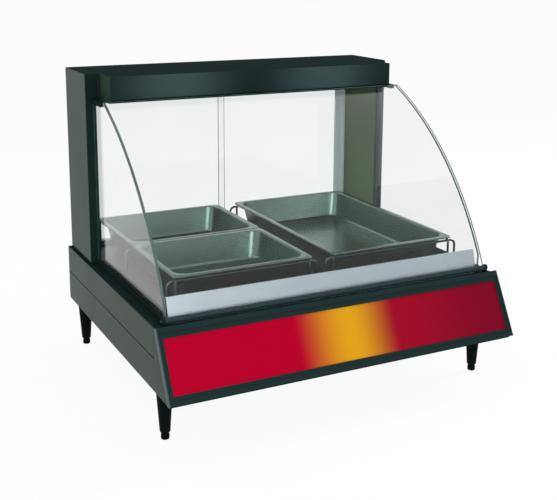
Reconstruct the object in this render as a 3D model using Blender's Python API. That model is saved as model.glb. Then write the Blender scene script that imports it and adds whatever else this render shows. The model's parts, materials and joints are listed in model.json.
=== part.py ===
"""Countertop heated display case for two serving pans.

A heated base stands on four legs. Two rear posts carry an overhead canopy with an infrared
element and two lamps. Curved glass closes the front, flat glass the sides and two sliding glass
doors the rear. Wire racks hold one full-size and two half-size steel pans.

Lengths are metres. X runs along the width, Y towards the rear and Z up. The driving sizes count
y from the rear face of the base, and an empty moves the whole case so that the origin lies at the
middle of its footprint, on the surface that it stands on.
"""

import math

import bmesh
import bpy
from mathutils import Vector

# Sizes that several pieces share
SEAT_GAP = 0.0003
SHEET = 0.0015
CUT_OVERRUN = 0.004
GLASS = 0.005
DOOR_GLASS = 0.004
GLASS_PLAY = 0.0005
ARC_SEGMENTS = 20
ROUND_SIDES = 20

# Base: lower body, side panels and slanted front
PAN_SIDE_MARGIN = 0.0605
PAN_FRONT_MARGIN = 0.063
BASE_BOTTOM_Z = 0.112
BASE_HEIGHT = 0.1355
SEAM_DROP = 0.0655
SEAM_REVEAL = 0.0018
SEAM_DEPTH = 0.0025
PANEL_CORNER = 0.006
BODY_LIP = 0.014
BODY_FLANGE = 0.025
SIDE_LEDGE = 0.040
SIDE_SHELF_DROP = 0.034
SIDE_SHELF = 0.018

# Sign holder on the slanted front
SIGN_OVERHANG = 0.004
SIGN_AHEAD = 0.025
SIGN_LEAN = 0.071
SIGN_TOP_RISE = 0.007
SIGN_BOTTOM_RISE = 0.0075
SIGN_DEPTH = 0.012
SIGN_TOP_BORDER = 0.0225
SIGN_BOTTOM_BORDER = 0.018
SIGN_END_BORDER = 0.0095
SIGN_STEP = 0.002
SIGN_RIM_SHARE = 0.5
SIGN_BITE = 0.006
SIGN_LIP = 0.0015
SIGN_SLOT = 0.003
SIGN_CAP = 0.003
SIGN_CAP_STEP = 0.004

# Rear control panel and what is mounted on it
REAR_SHELF = 0.046
CONTROL_HEIGHT = 0.070
KNOB_INSET = 0.143
KNOB_RADIUS = 0.022
KNOB_LENGTH = 0.020
KNOB_STAND_OFF = 0.0012
KNOB_RIDGE_WIDTH = 0.005
KNOB_RIDGE_RISE = 0.003
SHAFT_RADIUS = 0.003
SHAFT_PLAY = 0.0006
SHAFT_LENGTH = 0.012
THERMOSTAT_WIDTH = 0.036
THERMOSTAT_DEPTH = 0.024
SWITCH_INSET = 0.243
SWITCH_PITCH = 0.040
ROCKER_WIDTH = 0.013
ROCKER_HEIGHT = 0.022
ROCKER_DEPTH = 0.007
ROCKER_PLAY = 0.0008
ROCKER_THROW = math.radians(14)
ROCKER_FACE_ANGLE = math.radians(25)
ROCKER_BACK_ANGLE = math.radians(-20)
ROCKER_PIVOT_DEPTH = 0.003
BEZEL_MARGIN = 0.006
BEZEL_DEPTH = 0.016
BEZEL_RIM = 0.002
INLET_INSET = 0.113
INLET_WIDTH = 0.028
INLET_HEIGHT = 0.020
INLET_DEPTH = 0.022
INLET_WALL = 0.003
INLET_RIM = 0.003

# Bottom cover
COVER_THICKNESS = 0.0015
COVER_FRONT_INSET = 0.020
VENT_COUNT = 12
VENT_PITCH = 0.034
VENT_WIDTH = 0.006
VENT_LENGTH = 0.110
VENT_ROW_INSET = 0.150

# Heated deck
DECK_SHEET = 0.002
DECK_RETURN = 0.022
ELEMENT_RADIUS = 0.00325
ELEMENT_RUNS = 6
ELEMENT_EDGE = 0.060
PAD_EDGE = 0.004

# Legs and levelling feet
LEG_SIDE_INSET = 0.0255
LEG_FRONT_INSET = 0.0125
LEG_REAR_Y = 0.046
LEG_TOP_RADIUS = 0.0175
LEG_BOTTOM_RADIUS = 0.0110
LEG_ROUND = 0.0020
FOOT_HEIGHT = 0.016
FOOT_RADIUS = 0.0090
FOOT_WAIST_RADIUS = 0.0078
FOOT_CHAMFER = 0.0020
FOOT_STUD_RADIUS = 0.0040
FOOT_STUD = 0.018
STUD_PLAY = 0.0006

# Rear posts
POST_INSET = 0.007
POST_WIDTH = 0.029
POST_DEPTH = 0.168
POST_REAR_Y = 0.010
POST_CORNER = 0.0025
POST_SHADOW_GAP = 0.004
POST_NECK_INSET = 0.003
CASE_TOP_Z = 0.699

# Canopy, reflector, element, lamps and guard
CANOPY_END_GAP = 0.007
CANOPY_OVERHANG = 0.075
CANOPY_HEIGHT = 0.064
CANOPY_ROLL = 0.012
CANOPY_LIP = 0.028
CANOPY_REAR_LIP = 0.022
CORNER_STEPS = 5
REFLECTOR_FOOT = 0.010
REFLECTOR_FLARE = 0.020
REFLECTOR_ROOF_DROP = 0.010
HEATER_RADIUS = 0.0045
HEATER_SETBACK = 0.068
HEATER_RISE = 0.029
HEATER_END = 0.014
CLIP_WIDTH = 0.016
CLIP_THICKNESS = 0.006
CLIP_INSET = 0.040
CLIP_HOLE_PLAY = 0.0004
LAMP_AHEAD = 0.085
LAMP_RISE = 0.029
LAMP_RADIUS = 0.0150
LAMP_NECK_RADIUS = 0.0095
LAMP_BASE_RADIUS = 0.0085
LAMP_BASE = 0.018
LAMP_LENGTH = 0.070
LAMP_NECK_SHARE = 0.30
SOCKET_RADIUS = 0.0135
SOCKET_LENGTH = 0.034
SOCKET_PLAY = 0.0006
GUARD_WIRE_RADIUS = 0.0014
GUARD_RUNS = 4
GUARD_RIBS = 6
GUARD_END = 0.020
GUARD_RIB_INSET = 0.030
GUARD_CLEARANCE = 0.0015

# Glass, its rails and the tilting front
FRONT_GLASS_OVERHANG = 0.0015
PIVOT_AHEAD = 0.010
PIVOT_RISE = 0.0125
GLASS_FOOT_SETBACK = 0.0015
GLASS_FOOT_RISE = 0.003
GLASS_TOP_AHEAD = 0.007
GLASS_TOP_RISE = 0.007
ARC_RISE = 0.050
PIVOT_RAIL_RADIUS = 0.0062
PIVOT_RAIL_SIDES = 16
PIVOT_RAIL_END = 0.002
PIN_RADIUS = 0.0030
PIN_PLAY = 0.0005
PIN_LENGTH = 0.0090
BRACKET_THICKNESS = 0.0050
BRACKET_RADIUS = 0.0075
BRACKET_GAP = 0.0008
SIDE_GLASS_INSET = 0.027
SIDE_GLASS_CLEARANCE = 0.0008
CHANNEL_WALL = 0.0025
CHANNEL_HEIGHT = 0.013
CHANNEL_FLOOR = 0.002
CHANNEL_CHAMFER = 0.008
CHANNEL_FRONT_GAP = 0.018
TOP_RAIL_RISE = 0.0075
TOP_RAIL_HEIGHT = 0.012
TOP_RAIL_SETBACK = 0.007
SIDE_GLASS_SETBACK = 0.0010

# Satin apron behind the lower edge of the front glass
APRON_END_GAP = 0.0015
APRON_SETBACK = 0.0125
APRON_FOOT = 0.0255
APRON_CLEARANCE = 0.0067
APRON_HEIGHT = 0.0507
APRON_RETURN = 0.010
APRON_RETURN_DROP = 0.003

# Sliding rear doors and their tracks
DOOR_REAR_Y = 0.013
DOOR_PITCH_Y = 0.012
DOOR_OVERLAP = 0.022
DOOR_END_GAP = 0.004
TRACK_WALL = 0.0025
TRACK_FLOOR = 0.002
TRACK_GROOVE = 0.008
UPPER_GROOVE = 0.012
DOOR_LIFT = 0.004
PULL_WIDTH = 0.030
PULL_THICKNESS = 0.0084
PULL_BITE = 0.012
PULL_GROOVE_START = 0.0086
PULL_GROOVE_WIDTH = 0.0040
PULL_GROOVE_DEPTH = 0.0022

# Pans
PAN_LENGTH = 0.527
PAN_WIDTH = 0.325
PAN_DEPTH = 0.065
PAN_SHEET = 0.0010
PAN_RIM = 0.0130
PAN_RIM_LIP = 0.0030
PAN_DRAFT = 0.0120
PAN_CORNER = 0.0300
PAN_FLOOR_CORNER = 0.0300
PAN_CORNER_STEPS = 4
PAN_RIM_RISE = 0.0735
PAN_REAR_Y = 0.0360
PAN_GAP = 0.0030

# Wire racks
RACK_SPACING = 0.047
RACK_OFFSET = 0.004
WIRE_RADIUS = 0.0028
RACK_RAIL_INSET = 0.0065
RACK_CROSS_OVERHANG = 0.0190
RACK_BEND = 0.012
RACK_BEND_STEPS = 4
RACK_WELD = 0.0008


# Places that follow from the sizes above
RACK_PITCH = PAN_WIDTH + RACK_SPACING
HALF_WIDTH = RACK_PITCH / 2 + RACK_OFFSET + PAN_WIDTH / 2 + PAN_SIDE_MARGIN
SIDE_PANEL_LENGTH = PAN_REAR_Y + PAN_LENGTH + PAN_FRONT_MARGIN
BASE_TOP_Z = BASE_BOTTOM_Z + BASE_HEIGHT
BASE_SEAM_Z = BASE_TOP_Z - SEAM_DROP
SIGN_HALF = HALF_WIDTH + SIGN_OVERHANG
SIGN_TOP_Y = SIDE_PANEL_LENGTH + SIGN_AHEAD
SIGN_BOTTOM_Y = SIGN_TOP_Y + SIGN_LEAN
SIGN_TOP_Z = BASE_TOP_Z + SIGN_TOP_RISE
SIGN_BOTTOM_Z = BASE_BOTTOM_Z + SIGN_BOTTOM_RISE
CASE_DEPTH = SIGN_BOTTOM_Y
REAR_REACH = KNOB_STAND_OFF + KNOB_LENGTH + KNOB_RIDGE_RISE
CONTROL_Z = BASE_BOTTOM_Z + CONTROL_HEIGHT
KNOB_X = KNOB_INSET - HALF_WIDTH
SWITCH_X = SWITCH_INSET - HALF_WIDTH
INLET_X = HALF_WIDTH - INLET_INSET
LEG_X = HALF_WIDTH - LEG_SIDE_INSET
LEG_FRONT_Y = SIDE_PANEL_LENGTH - LEG_FRONT_INSET
CASE_SHIFT_Y = (CASE_DEPTH - REAR_REACH) / 2
POST_OUTER_X = HALF_WIDTH - POST_INSET
POST_INNER_X = POST_OUTER_X - POST_WIDTH
POST_FRONT_Y = POST_REAR_Y + POST_DEPTH
DECK_HALF_WIDTH = HALF_WIDTH - SIDE_LEDGE - SEAT_GAP
DECK_BOTTOM_Z = BASE_TOP_Z - SIDE_SHELF_DROP + SEAT_GAP
TOP_SEAT_Z = BASE_TOP_Z + SEAT_GAP
DOOR_FRONT_Y = DOOR_REAR_Y + DOOR_PITCH_Y
BETWEEN_POSTS = POST_INNER_X - SEAT_GAP
CANOPY_HALF = POST_INNER_X - CANOPY_END_GAP
CANOPY_FRONT_Y = POST_FRONT_Y + CANOPY_OVERHANG
CANOPY_BOTTOM_Z = CASE_TOP_Z - CANOPY_HEIGHT
HEATER_Y = CANOPY_FRONT_Y - HEATER_SETBACK
HEATER_Z = CANOPY_BOTTOM_Z + HEATER_RISE
LAMP_Y = POST_REAR_Y + LAMP_AHEAD
LAMP_Z = CANOPY_BOTTOM_Z + LAMP_RISE
SIDE_GLASS_X = HALF_WIDTH - SIDE_GLASS_INSET
FRONT_GLASS_HALF = SIDE_GLASS_X + GLASS / 2 + FRONT_GLASS_OVERHANG
PIVOT_Y = SIDE_PANEL_LENGTH + PIVOT_AHEAD
PIVOT_Z = BASE_TOP_Z + PIVOT_RISE
ARC_BOTTOM_Y = PIVOT_Y - GLASS_FOOT_SETBACK
ARC_BOTTOM_Z = PIVOT_Z + GLASS_FOOT_RISE
ARC_TOP_Y = CANOPY_FRONT_Y + GLASS_TOP_AHEAD
ARC_TOP_Z = CANOPY_BOTTOM_Z + GLASS_TOP_RISE
CHANNEL_FRONT_Y = PIVOT_Y - CHANNEL_FRONT_GAP
CHANNEL_HALF = GLASS / 2 + GLASS_PLAY + CHANNEL_WALL
TOP_RAIL_Z = CANOPY_BOTTOM_Z + TOP_RAIL_RISE
TOP_RAIL_FRONT_Y = CANOPY_FRONT_Y - TOP_RAIL_SETBACK
APRON_HALF_WIDTH = SIDE_GLASS_X - CHANNEL_HALF - APRON_END_GAP
APRON_BASE_Y = PIVOT_Y - APRON_SETBACK
APRON_TOP_Z = TOP_SEAT_Z + APRON_HEIGHT
PAN_RIM_Z = BASE_TOP_Z + PAN_RIM_RISE
PAN_FLOOR_Z = PAN_RIM_Z - PAN_DEPTH
HALF_PAN_LENGTH = (PAN_LENGTH - PAN_GAP) / 2

# Finishes: colour, roughness, metallic, alpha
FINISHES = {
    "black_paint": ((0.020, 0.030, 0.028), 0.45, 0.0, 1.0),
    "side_paint": ((0.045, 0.060, 0.055), 0.45, 0.0, 1.0),
    "aluminium": ((0.62, 0.65, 0.68), 0.35, 1.0, 1.0),
    "deck": ((0.06, 0.07, 0.07), 0.40, 0.6, 1.0),
    "steel": ((0.60, 0.61, 0.62), 0.28, 1.0, 1.0),
    "wire": ((0.55, 0.57, 0.58), 0.25, 1.0, 1.0),
    "clear_glass": ((0.85, 0.93, 0.90), 0.03, 0.0, 0.2),
    "insert_red": ((0.52, 0.0, 0.02), 0.30, 0.0, 1.0),
    "plastic": ((0.012, 0.012, 0.013), 0.50, 0.0, 1.0),
    "switch_red": ((0.45, 0.02, 0.02), 0.35, 0.0, 1.0),
    "ceramic": ((0.85, 0.84, 0.80), 0.60, 0.0, 1.0),
    "heater_steel": ((0.16, 0.14, 0.13), 0.40, 1.0, 1.0),
    "lamp_glass": ((0.92, 0.90, 0.82), 0.20, 0.0, 0.8),
    "mineral_wool": ((0.55, 0.50, 0.40), 0.95, 0.0, 1.0),
}


def clear_scene():
    """Removes the objects that the scene starts with."""
    for item in list(bpy.data.objects):
        bpy.data.objects.remove(item, do_unlink=True)


def finish(name):
    """Returns the named finish as a Principled material, made once."""
    found = bpy.data.materials.get(name)
    if found:
        return found
    colour, roughness, metallic, alpha = FINISHES[name]
    made = bpy.data.materials.new(name)
    made.use_nodes = True
    shader = made.node_tree.nodes["Principled BSDF"]
    shader.inputs["Base Color"].default_value = (*colour, 1.0)
    shader.inputs["Roughness"].default_value = roughness
    shader.inputs["Metallic"].default_value = metallic
    shader.inputs["Alpha"].default_value = alpha
    return made


def make_object(name, bm, material, origin=(0, 0, 0), cutter=False):
    """Turns a bmesh in case coordinates into an object whose own origin lies at origin."""
    bmesh.ops.recalc_face_normals(bm, faces=bm.faces)
    if bm.calc_volume(signed=True) < 0:
        bmesh.ops.reverse_faces(bm, faces=bm.faces)
    bmesh.ops.translate(bm, verts=bm.verts, vec=-Vector(origin))
    mesh = bpy.data.meshes.new(name)
    bm.to_mesh(mesh)
    bm.free()
    made = bpy.data.objects.new(name, mesh)
    bpy.context.scene.collection.objects.link(made)
    made.parent = CASE
    made.location = origin
    if cutter:
        made.hide_render = True
        made.display_type = "WIRE"
    else:
        mesh.materials.append(finish(material))
    return made


def smooth(item, angle=math.radians(35)):
    """Shades a round piece smooth, with its real edges kept sharp."""
    item.data.shade_smooth()
    item.data.set_sharp_from_angle(angle=angle)
    return item


def combine(target, other, operation):
    """Adds an exact boolean that joins other to target or cuts it away."""
    step = target.modifiers.new(operation.lower(), "BOOLEAN")
    step.operation = operation
    step.solver = "EXACT"
    step.object = other
    return target


def cut(target, *cutters):
    """Cuts each cutter out of the target."""
    for cutter in cutters:
        combine(target, cutter, "DIFFERENCE")
    return target


def join(target, *others):
    """Joins each other solid to the target."""
    for other in others:
        combine(target, other, "UNION")
    return target


def prism_bmesh(outline, axis, start, end):
    """Extrudes a closed outline along an axis; X takes (y, z) points, Y (x, z) and Z (x, y)."""
    places = {
        "X": lambda a, b, c: (c, a, b),
        "Y": lambda a, b, c: (a, c, b),
        "Z": lambda a, b, c: (a, b, c),
    }
    place = places[axis]
    bm = bmesh.new()
    face = bm.faces.new([bm.verts.new(place(a, b, start)) for a, b in outline])
    swept = bmesh.ops.extrude_face_region(bm, geom=[face])
    moved = [item for item in swept["geom"] if isinstance(item, bmesh.types.BMVert)]
    bmesh.ops.translate(bm, verts=moved, vec=place(0, 0, end - start))
    return bm


def prism(name, outline, axis, start, end, material="plastic", origin=(0, 0, 0), cutter=False):
    """Makes an object from an outline extruded along an axis."""
    bm = prism_bmesh(outline, axis, start, end)
    return make_object(name, bm, material, origin, cutter)


def rectangle(low_a, high_a, low_b, high_b):
    """Returns the corners of an upright rectangle."""
    return [(low_a, low_b), (high_a, low_b), (high_a, high_b), (low_a, high_b)]


def rounded(points, radius, steps=CORNER_STEPS):
    """Rounds each corner of a closed outline; radius is one value or one for each corner."""
    radii = radius if isinstance(radius, (list, tuple)) else [radius] * len(points)
    outline = []
    for index, corner in enumerate(points):
        here = Vector(corner)
        before = Vector(points[index - 1]) - here
        after = Vector(points[(index + 1) % len(points)]) - here
        size = radii[index]
        if size <= 0:
            outline.append((here.x, here.y))
            continue
        half_angle = before.angle(after) / 2
        reach = size / math.tan(half_angle)
        start = here + before.normalized() * reach
        end = here + after.normalized() * reach
        middle = here + (before.normalized() + after.normalized()).normalized() * (
            size / math.sin(half_angle)
        )
        first = start - middle
        turn = first.angle_signed(end - middle)
        for step in range(steps + 1):
            angle = -turn * step / steps
            swung = Vector(
                (
                    first.x * math.cos(angle) - first.y * math.sin(angle),
                    first.x * math.sin(angle) + first.y * math.cos(angle),
                )
            )
            outline.append(tuple(middle + swung))
    return outline


def folded(path, thickness):
    """Returns the outline of a sheet folded along an open path, thickened to the path's left."""
    points = [Vector(point) for point in path]
    inner = []
    for index, here in enumerate(points):
        sides = []
        if index > 0:
            sides.append((here - points[index - 1]).normalized())
        if index < len(points) - 1:
            sides.append((points[index + 1] - here).normalized())
        normals = [Vector((-side.y, side.x)) for side in sides]
        if len(normals) == 1:
            inner.append(here + normals[0] * thickness)
            continue
        bisector = (normals[0] + normals[1]).normalized()
        inner.append(here + bisector * (thickness / bisector.dot(normals[0])))
    return [tuple(point) for point in points] + [tuple(point) for point in reversed(inner)]


def box(name, x_range, y_range, z_range, material="plastic", cutter=False):
    """Makes a rectangular block from its ranges along X, Y and Z."""
    outline = rectangle(*x_range, *y_range)
    return prism(name, outline, "Z", *z_range, material=material, cutter=cutter)


def loft(name, rings, material, origin=(0, 0, 0), cutter=False):
    """Skins equal rings of points one after another and closes both ends."""
    bm = bmesh.new()
    loops = [[bm.verts.new(point) for point in ring] for ring in rings]
    for lower, upper in zip(loops, loops[1:]):
        for index in range(len(lower)):
            bm.faces.new((lower[index - 1], lower[index], upper[index], upper[index - 1]))
    bm.faces.new(loops[0][::-1])
    bm.faces.new(loops[-1])
    return make_object(name, bm, material, origin, cutter)


def ring_at(outline, z):
    """Lifts a flat outline to a height."""
    return [(a, b, z) for a, b in outline]


def turned(name, profile, centre, axis, material, sides=ROUND_SIDES, origin=None, cutter=False):
    """Spins (distance along the axis, radius) points about an axis through centre."""
    frames = {
        "X": (Vector((1, 0, 0)), Vector((0, 1, 0)), Vector((0, 0, 1))),
        "Y": (Vector((0, 1, 0)), Vector((0, 0, 1)), Vector((1, 0, 0))),
        "Z": (Vector((0, 0, 1)), Vector((1, 0, 0)), Vector((0, 1, 0))),
    }
    along, first, second = frames[axis]
    centre = Vector(centre)
    rings = []
    for distance, radius in profile:
        angles = [2 * math.pi * index / sides for index in range(sides)]
        rings.append(
            [
                centre + along * distance + radius * (first * math.cos(a) + second * math.sin(a))
                for a in angles
            ]
        )
    place = tuple(centre) if origin is None else origin
    return smooth(loft(name, rings, material, place, cutter))


def bent_path(points, radius, steps):
    """Returns the points of a wire that follows straight runs with round bends."""
    corners = [Vector(point) for point in points]
    path = [corners[0]]
    for before, here, after in zip(corners, corners[1:], corners[2:]):
        back = (before - here).normalized()
        ahead = (after - here).normalized()
        half_angle = back.angle(ahead) / 2
        reach = radius / math.tan(half_angle)
        middle = here + (back + ahead).normalized() * (radius / math.sin(half_angle))
        start = here + back * reach - middle
        end = here + ahead * reach - middle
        turn = start.angle(end)
        for step in range(steps + 1):
            share = step / steps
            early = math.sin((1 - share) * turn) / math.sin(turn)
            late = math.sin(share * turn) / math.sin(turn)
            path.append(middle + start * early + end * late)
    path.append(corners[-1])
    return path


def wire(name, path, radius, material="wire", resolution=2):
    """Makes a round wire with closed ends along a path, as a mesh."""
    curve = bpy.data.curves.new(name + "_path", "CURVE")
    curve.dimensions = "3D"
    curve.bevel_depth = radius
    curve.bevel_resolution = resolution
    curve.use_fill_caps = True
    spline = curve.splines.new("POLY")
    spline.points.add(len(path) - 1)
    for point, place in zip(spline.points, path):
        point.co = (*place, 1)
    guide = bpy.data.objects.new(name + "_path", curve)
    bpy.context.scene.collection.objects.link(guide)
    mesh = bpy.data.meshes.new_from_object(guide)
    bpy.data.objects.remove(guide, do_unlink=True)
    bm = bmesh.new()
    bm.from_mesh(mesh)
    bmesh.ops.remove_doubles(bm, verts=bm.verts, dist=radius / 50)
    return smooth(make_object(name, bm, material))


def as_tool(item):
    """Hides a solid that is only joined to or cut from another."""
    item.hide_render = True
    item.display_type = "WIRE"
    return item


def sign_point(down, depth):
    """Returns (y, z) on the slanted front, measured down its face and in behind it."""
    top = Vector((-SIGN_TOP_Y, SIGN_TOP_Z))
    bottom = Vector((-SIGN_BOTTOM_Y, SIGN_BOTTOM_Z))
    along = (bottom - top).normalized()
    inward = Vector((-along.y, along.x))
    return tuple(top + along * down + inward * depth)


def sign_height():
    """Returns the sign's height along its slanted face."""
    return math.hypot(SIGN_BOTTOM_Y - SIGN_TOP_Y, SIGN_TOP_Z - SIGN_BOTTOM_Z)


def front_y_at(z, depth):
    """Returns y where the slanted front, set in by a depth, crosses a height."""
    upper = Vector(sign_point(0, depth))
    lower = Vector(sign_point(sign_height(), depth))
    share = (upper.y - z) / (upper.y - lower.y)
    return upper.x + (lower.x - upper.x) * share


def glass_circle():
    """Returns the centre, the radius and the chord of the curve that the front glass follows."""
    low = Vector((-ARC_BOTTOM_Y, ARC_BOTTOM_Z))
    high = Vector((-ARC_TOP_Y, ARC_TOP_Z))
    chord = high - low
    radius = (chord.length_squared / 4 + ARC_RISE**2) / (2 * ARC_RISE)
    outward = Vector((-chord.y, chord.x)).normalized()
    centre = (low + high) / 2 - outward * (radius - ARC_RISE)
    return centre, radius, chord


def glass_y_at(z, offset=0.0):
    """Returns y where the front glass's curve, offset outwards, crosses a height."""
    centre, radius, _ = glass_circle()
    return centre.x - math.sqrt((radius + offset) ** 2 - (z - centre.y) ** 2)


def glass_arc(offset=0.0, steps=ARC_SEGMENTS):
    """Returns (y, z) along the front glass from bottom to top, offset outwards."""
    centre, radius, chord = glass_circle()
    start = math.atan2(ARC_BOTTOM_Z - centre.y, -ARC_BOTTOM_Y - centre.x)
    sweep = 2 * math.asin(chord.length / 2 / radius)
    points = []
    for step in range(steps + 1):
        angle = start - sweep * step / steps
        reach = radius + offset
        points.append((centre.x + reach * math.cos(angle), centre.y + reach * math.sin(angle)))
    return points


def build_lower_body():
    """The folded lower body: side walls with lips, and a full-height slanted front."""
    rear = -SHEET - SEAT_GAP
    face = SIGN_DEPTH + SEAT_GAP
    top = BASE_TOP_Z
    seam = BASE_SEAM_Z - SEAT_GAP
    low = BASE_BOTTOM_Z
    outline = [
        (rear, low),
        (rear, seam),
        (-SIDE_PANEL_LENGTH, seam),
        (-SIDE_PANEL_LENGTH, top),
        (front_y_at(top, face), top),
        (front_y_at(low, face), low),
    ]
    body = prism("lower_body", outline, "X", -HALF_WIDTH, HALF_WIDTH, "side_paint")
    wall = face + SHEET
    inner = HALF_WIDTH - SHEET
    ahead = -SIDE_PANEL_LENGTH - SHEET
    hollow_outline = [
        (CUT_OVERRUN, low + SHEET),
        (CUT_OVERRUN, seam - SHEET),
        (ahead, seam - SHEET),
        (ahead, top - SHEET),
        (front_y_at(top - SHEET, wall), top - SHEET),
        (front_y_at(low + SHEET, wall), low + SHEET),
    ]
    hollow = prism("body_hollow", hollow_outline, "X", -inner, inner, cutter=True)
    mouth = box(
        "body_mouth",
        (-HALF_WIDTH + BODY_LIP, HALF_WIDTH - BODY_LIP),
        (-SIDE_PANEL_LENGTH, CUT_OVERRUN),
        (seam - SHEET - CUT_OVERRUN, seam + CUT_OVERRUN),
        cutter=True,
    )
    floor = box(
        "body_floor_opening",
        (-inner + BODY_FLANGE, inner - BODY_FLANGE),
        (front_y_at(low, wall) + BODY_FLANGE, CUT_OVERRUN),
        (low - CUT_OVERRUN, low + SHEET + CUT_OVERRUN),
        cutter=True,
    )
    return cut(body, hollow, mouth, floor)


def build_side_panel(side, name):
    """An upper side panel: stepped foot, outer wall, top ledge, inner drop and deck shelf."""
    outer = side * HALF_WIDTH
    foot = side * (HALF_WIDTH - SEAM_DEPTH)
    inner = side * (HALF_WIDTH - SIDE_LEDGE)
    shelf_z = BASE_TOP_Z - SIDE_SHELF_DROP
    low_z = BASE_SEAM_Z + SEAM_REVEAL
    path = [
        (foot, BASE_SEAM_Z),
        (foot, low_z),
        (outer, low_z),
        (outer, BASE_TOP_Z),
        (inner, BASE_TOP_Z),
        (inner, shelf_z),
        (inner - side * SIDE_SHELF, shelf_z),
    ]
    sheet = folded(path, side * SHEET)
    front = -SIDE_PANEL_LENGTH + SEAT_GAP
    panel = prism(name, sheet, "Y", -SHEET - SEAT_GAP, front, "side_paint")
    corner = [
        (front + PANEL_CORNER, low_z - SEAM_REVEAL / 2),
        (front - CUT_OVERRUN, low_z - SEAM_REVEAL / 2),
        (front - CUT_OVERRUN, low_z + PANEL_CORNER),
    ]
    for step in range(2 * CORNER_STEPS + 1):
        angle = math.pi + math.pi / 2 * step / (2 * CORNER_STEPS)
        corner.append(
            (
                front + PANEL_CORNER * (1 + math.cos(angle)),
                low_z + PANEL_CORNER * (1 + math.sin(angle)),
            )
        )
    wall = side * (HALF_WIDTH - SEAM_DEPTH / 2)
    start, end = sorted((wall, outer + side * CUT_OVERRUN))
    return cut(panel, prism(name + "_corner", corner, "X", start, end, cutter=True))


def build_rear_panel():
    """The rear panel with its shelf for the lower door track and the control cut-outs."""
    wall = box(
        "rear_panel",
        (-HALF_WIDTH, HALF_WIDTH),
        (-SHEET, 0),
        (BASE_BOTTOM_Z, BASE_TOP_Z),
        "black_paint",
    )
    inner = HALF_WIDTH - SIDE_LEDGE - SEAT_GAP
    shelf_path = [
        (-SHEET / 2, BASE_TOP_Z),
        (-REAR_SHELF, BASE_TOP_Z),
        (-REAR_SHELF, BASE_TOP_Z - SIDE_SHELF_DROP),
    ]
    shelf = as_tool(prism("rear_shelf", folded(shelf_path, SHEET), "X", -inner, inner))
    join(wall, shelf)
    low, high = CONTROL_Z - ROCKER_HEIGHT / 2, CONTROL_Z + ROCKER_HEIGHT / 2
    half = (SWITCH_PITCH + ROCKER_WIDTH) / 2 + BEZEL_MARGIN / 2
    window = box(
        "switch_window",
        (SWITCH_X - half - SEAT_GAP, SWITCH_X + half + SEAT_GAP),
        (-SHEET - CUT_OVERRUN, CUT_OVERRUN),
        (low - BEZEL_MARGIN / 2 - SEAT_GAP, high + BEZEL_MARGIN / 2 + SEAT_GAP),
        cutter=True,
    )
    inlet = box(
        "inlet_window",
        (INLET_X - INLET_WIDTH / 2 - SEAT_GAP, INLET_X + INLET_WIDTH / 2 + SEAT_GAP),
        (-SHEET - CUT_OVERRUN, CUT_OVERRUN),
        (CONTROL_Z - INLET_HEIGHT / 2 - SEAT_GAP, CONTROL_Z + INLET_HEIGHT / 2 + SEAT_GAP),
        cutter=True,
    )
    hole = turned(
        "shaft_hole",
        [(-SHEET - CUT_OVERRUN, SHAFT_RADIUS + SHAFT_PLAY), (CUT_OVERRUN, SHAFT_RADIUS + SHAFT_PLAY)],
        (KNOB_X, 0, CONTROL_Z),
        "Y",
        "plastic",
        cutter=True,
    )
    return cut(wall, window, inlet, hole)


def build_bottom_cover():
    """The slotted cover that lies on the lower body's bottom flange."""
    half = HALF_WIDTH - SHEET - SEAT_GAP
    z = BASE_BOTTOM_Z + SHEET + SEAT_GAP
    front = front_y_at(BASE_BOTTOM_Z, SIGN_DEPTH + SHEET) + COVER_FRONT_INSET
    cover = box(
        "bottom_cover",
        (-half, half),
        (front, -SHEET - SEAT_GAP),
        (z, z + COVER_THICKNESS),
        "black_paint",
    )
    for row in (VENT_ROW_INSET, -front - VENT_ROW_INSET):
        bm = bmesh.new()
        for index in range(VENT_COUNT):
            x = (index - (VENT_COUNT - 1) / 2) * VENT_PITCH
            slot = rectangle(
                x - VENT_WIDTH / 2,
                x + VENT_WIDTH / 2,
                -row - VENT_LENGTH / 2,
                -row + VENT_LENGTH / 2,
            )
            piece = prism_bmesh(slot, "Z", z - CUT_OVERRUN, z + COVER_THICKNESS + CUT_OVERRUN)
            loose = bpy.data.meshes.new("vent")
            piece.to_mesh(loose)
            piece.free()
            bm.from_mesh(loose)
            bpy.data.meshes.remove(loose)
        cut(cover, make_object("vent_row", bm, "plastic", cutter=True))
    return cover


def build_deck():
    """The heated deck, an inverted tray whose returns carry the insulation."""
    half = DECK_HALF_WIDTH
    rear = -REAR_SHELF - SEAT_GAP
    front = -SIDE_PANEL_LENGTH + SEAT_GAP
    deck = box("heated_deck", (-half, half), (front, rear), (DECK_BOTTOM_Z, BASE_TOP_Z), "deck")
    hollow = box(
        "deck_hollow",
        (-half + DECK_SHEET, half - DECK_SHEET),
        (front + DECK_SHEET, rear - DECK_SHEET),
        (DECK_BOTTOM_Z + DECK_SHEET, BASE_TOP_Z - DECK_SHEET),
        cutter=True,
    )
    mouth = box(
        "deck_mouth",
        (-half + DECK_RETURN, half - DECK_RETURN),
        (front + DECK_RETURN, rear - DECK_RETURN),
        (DECK_BOTTOM_Z - CUT_OVERRUN, DECK_BOTTOM_Z + DECK_SHEET + CUT_OVERRUN),
        cutter=True,
    )
    return cut(deck, hollow, mouth)


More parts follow.
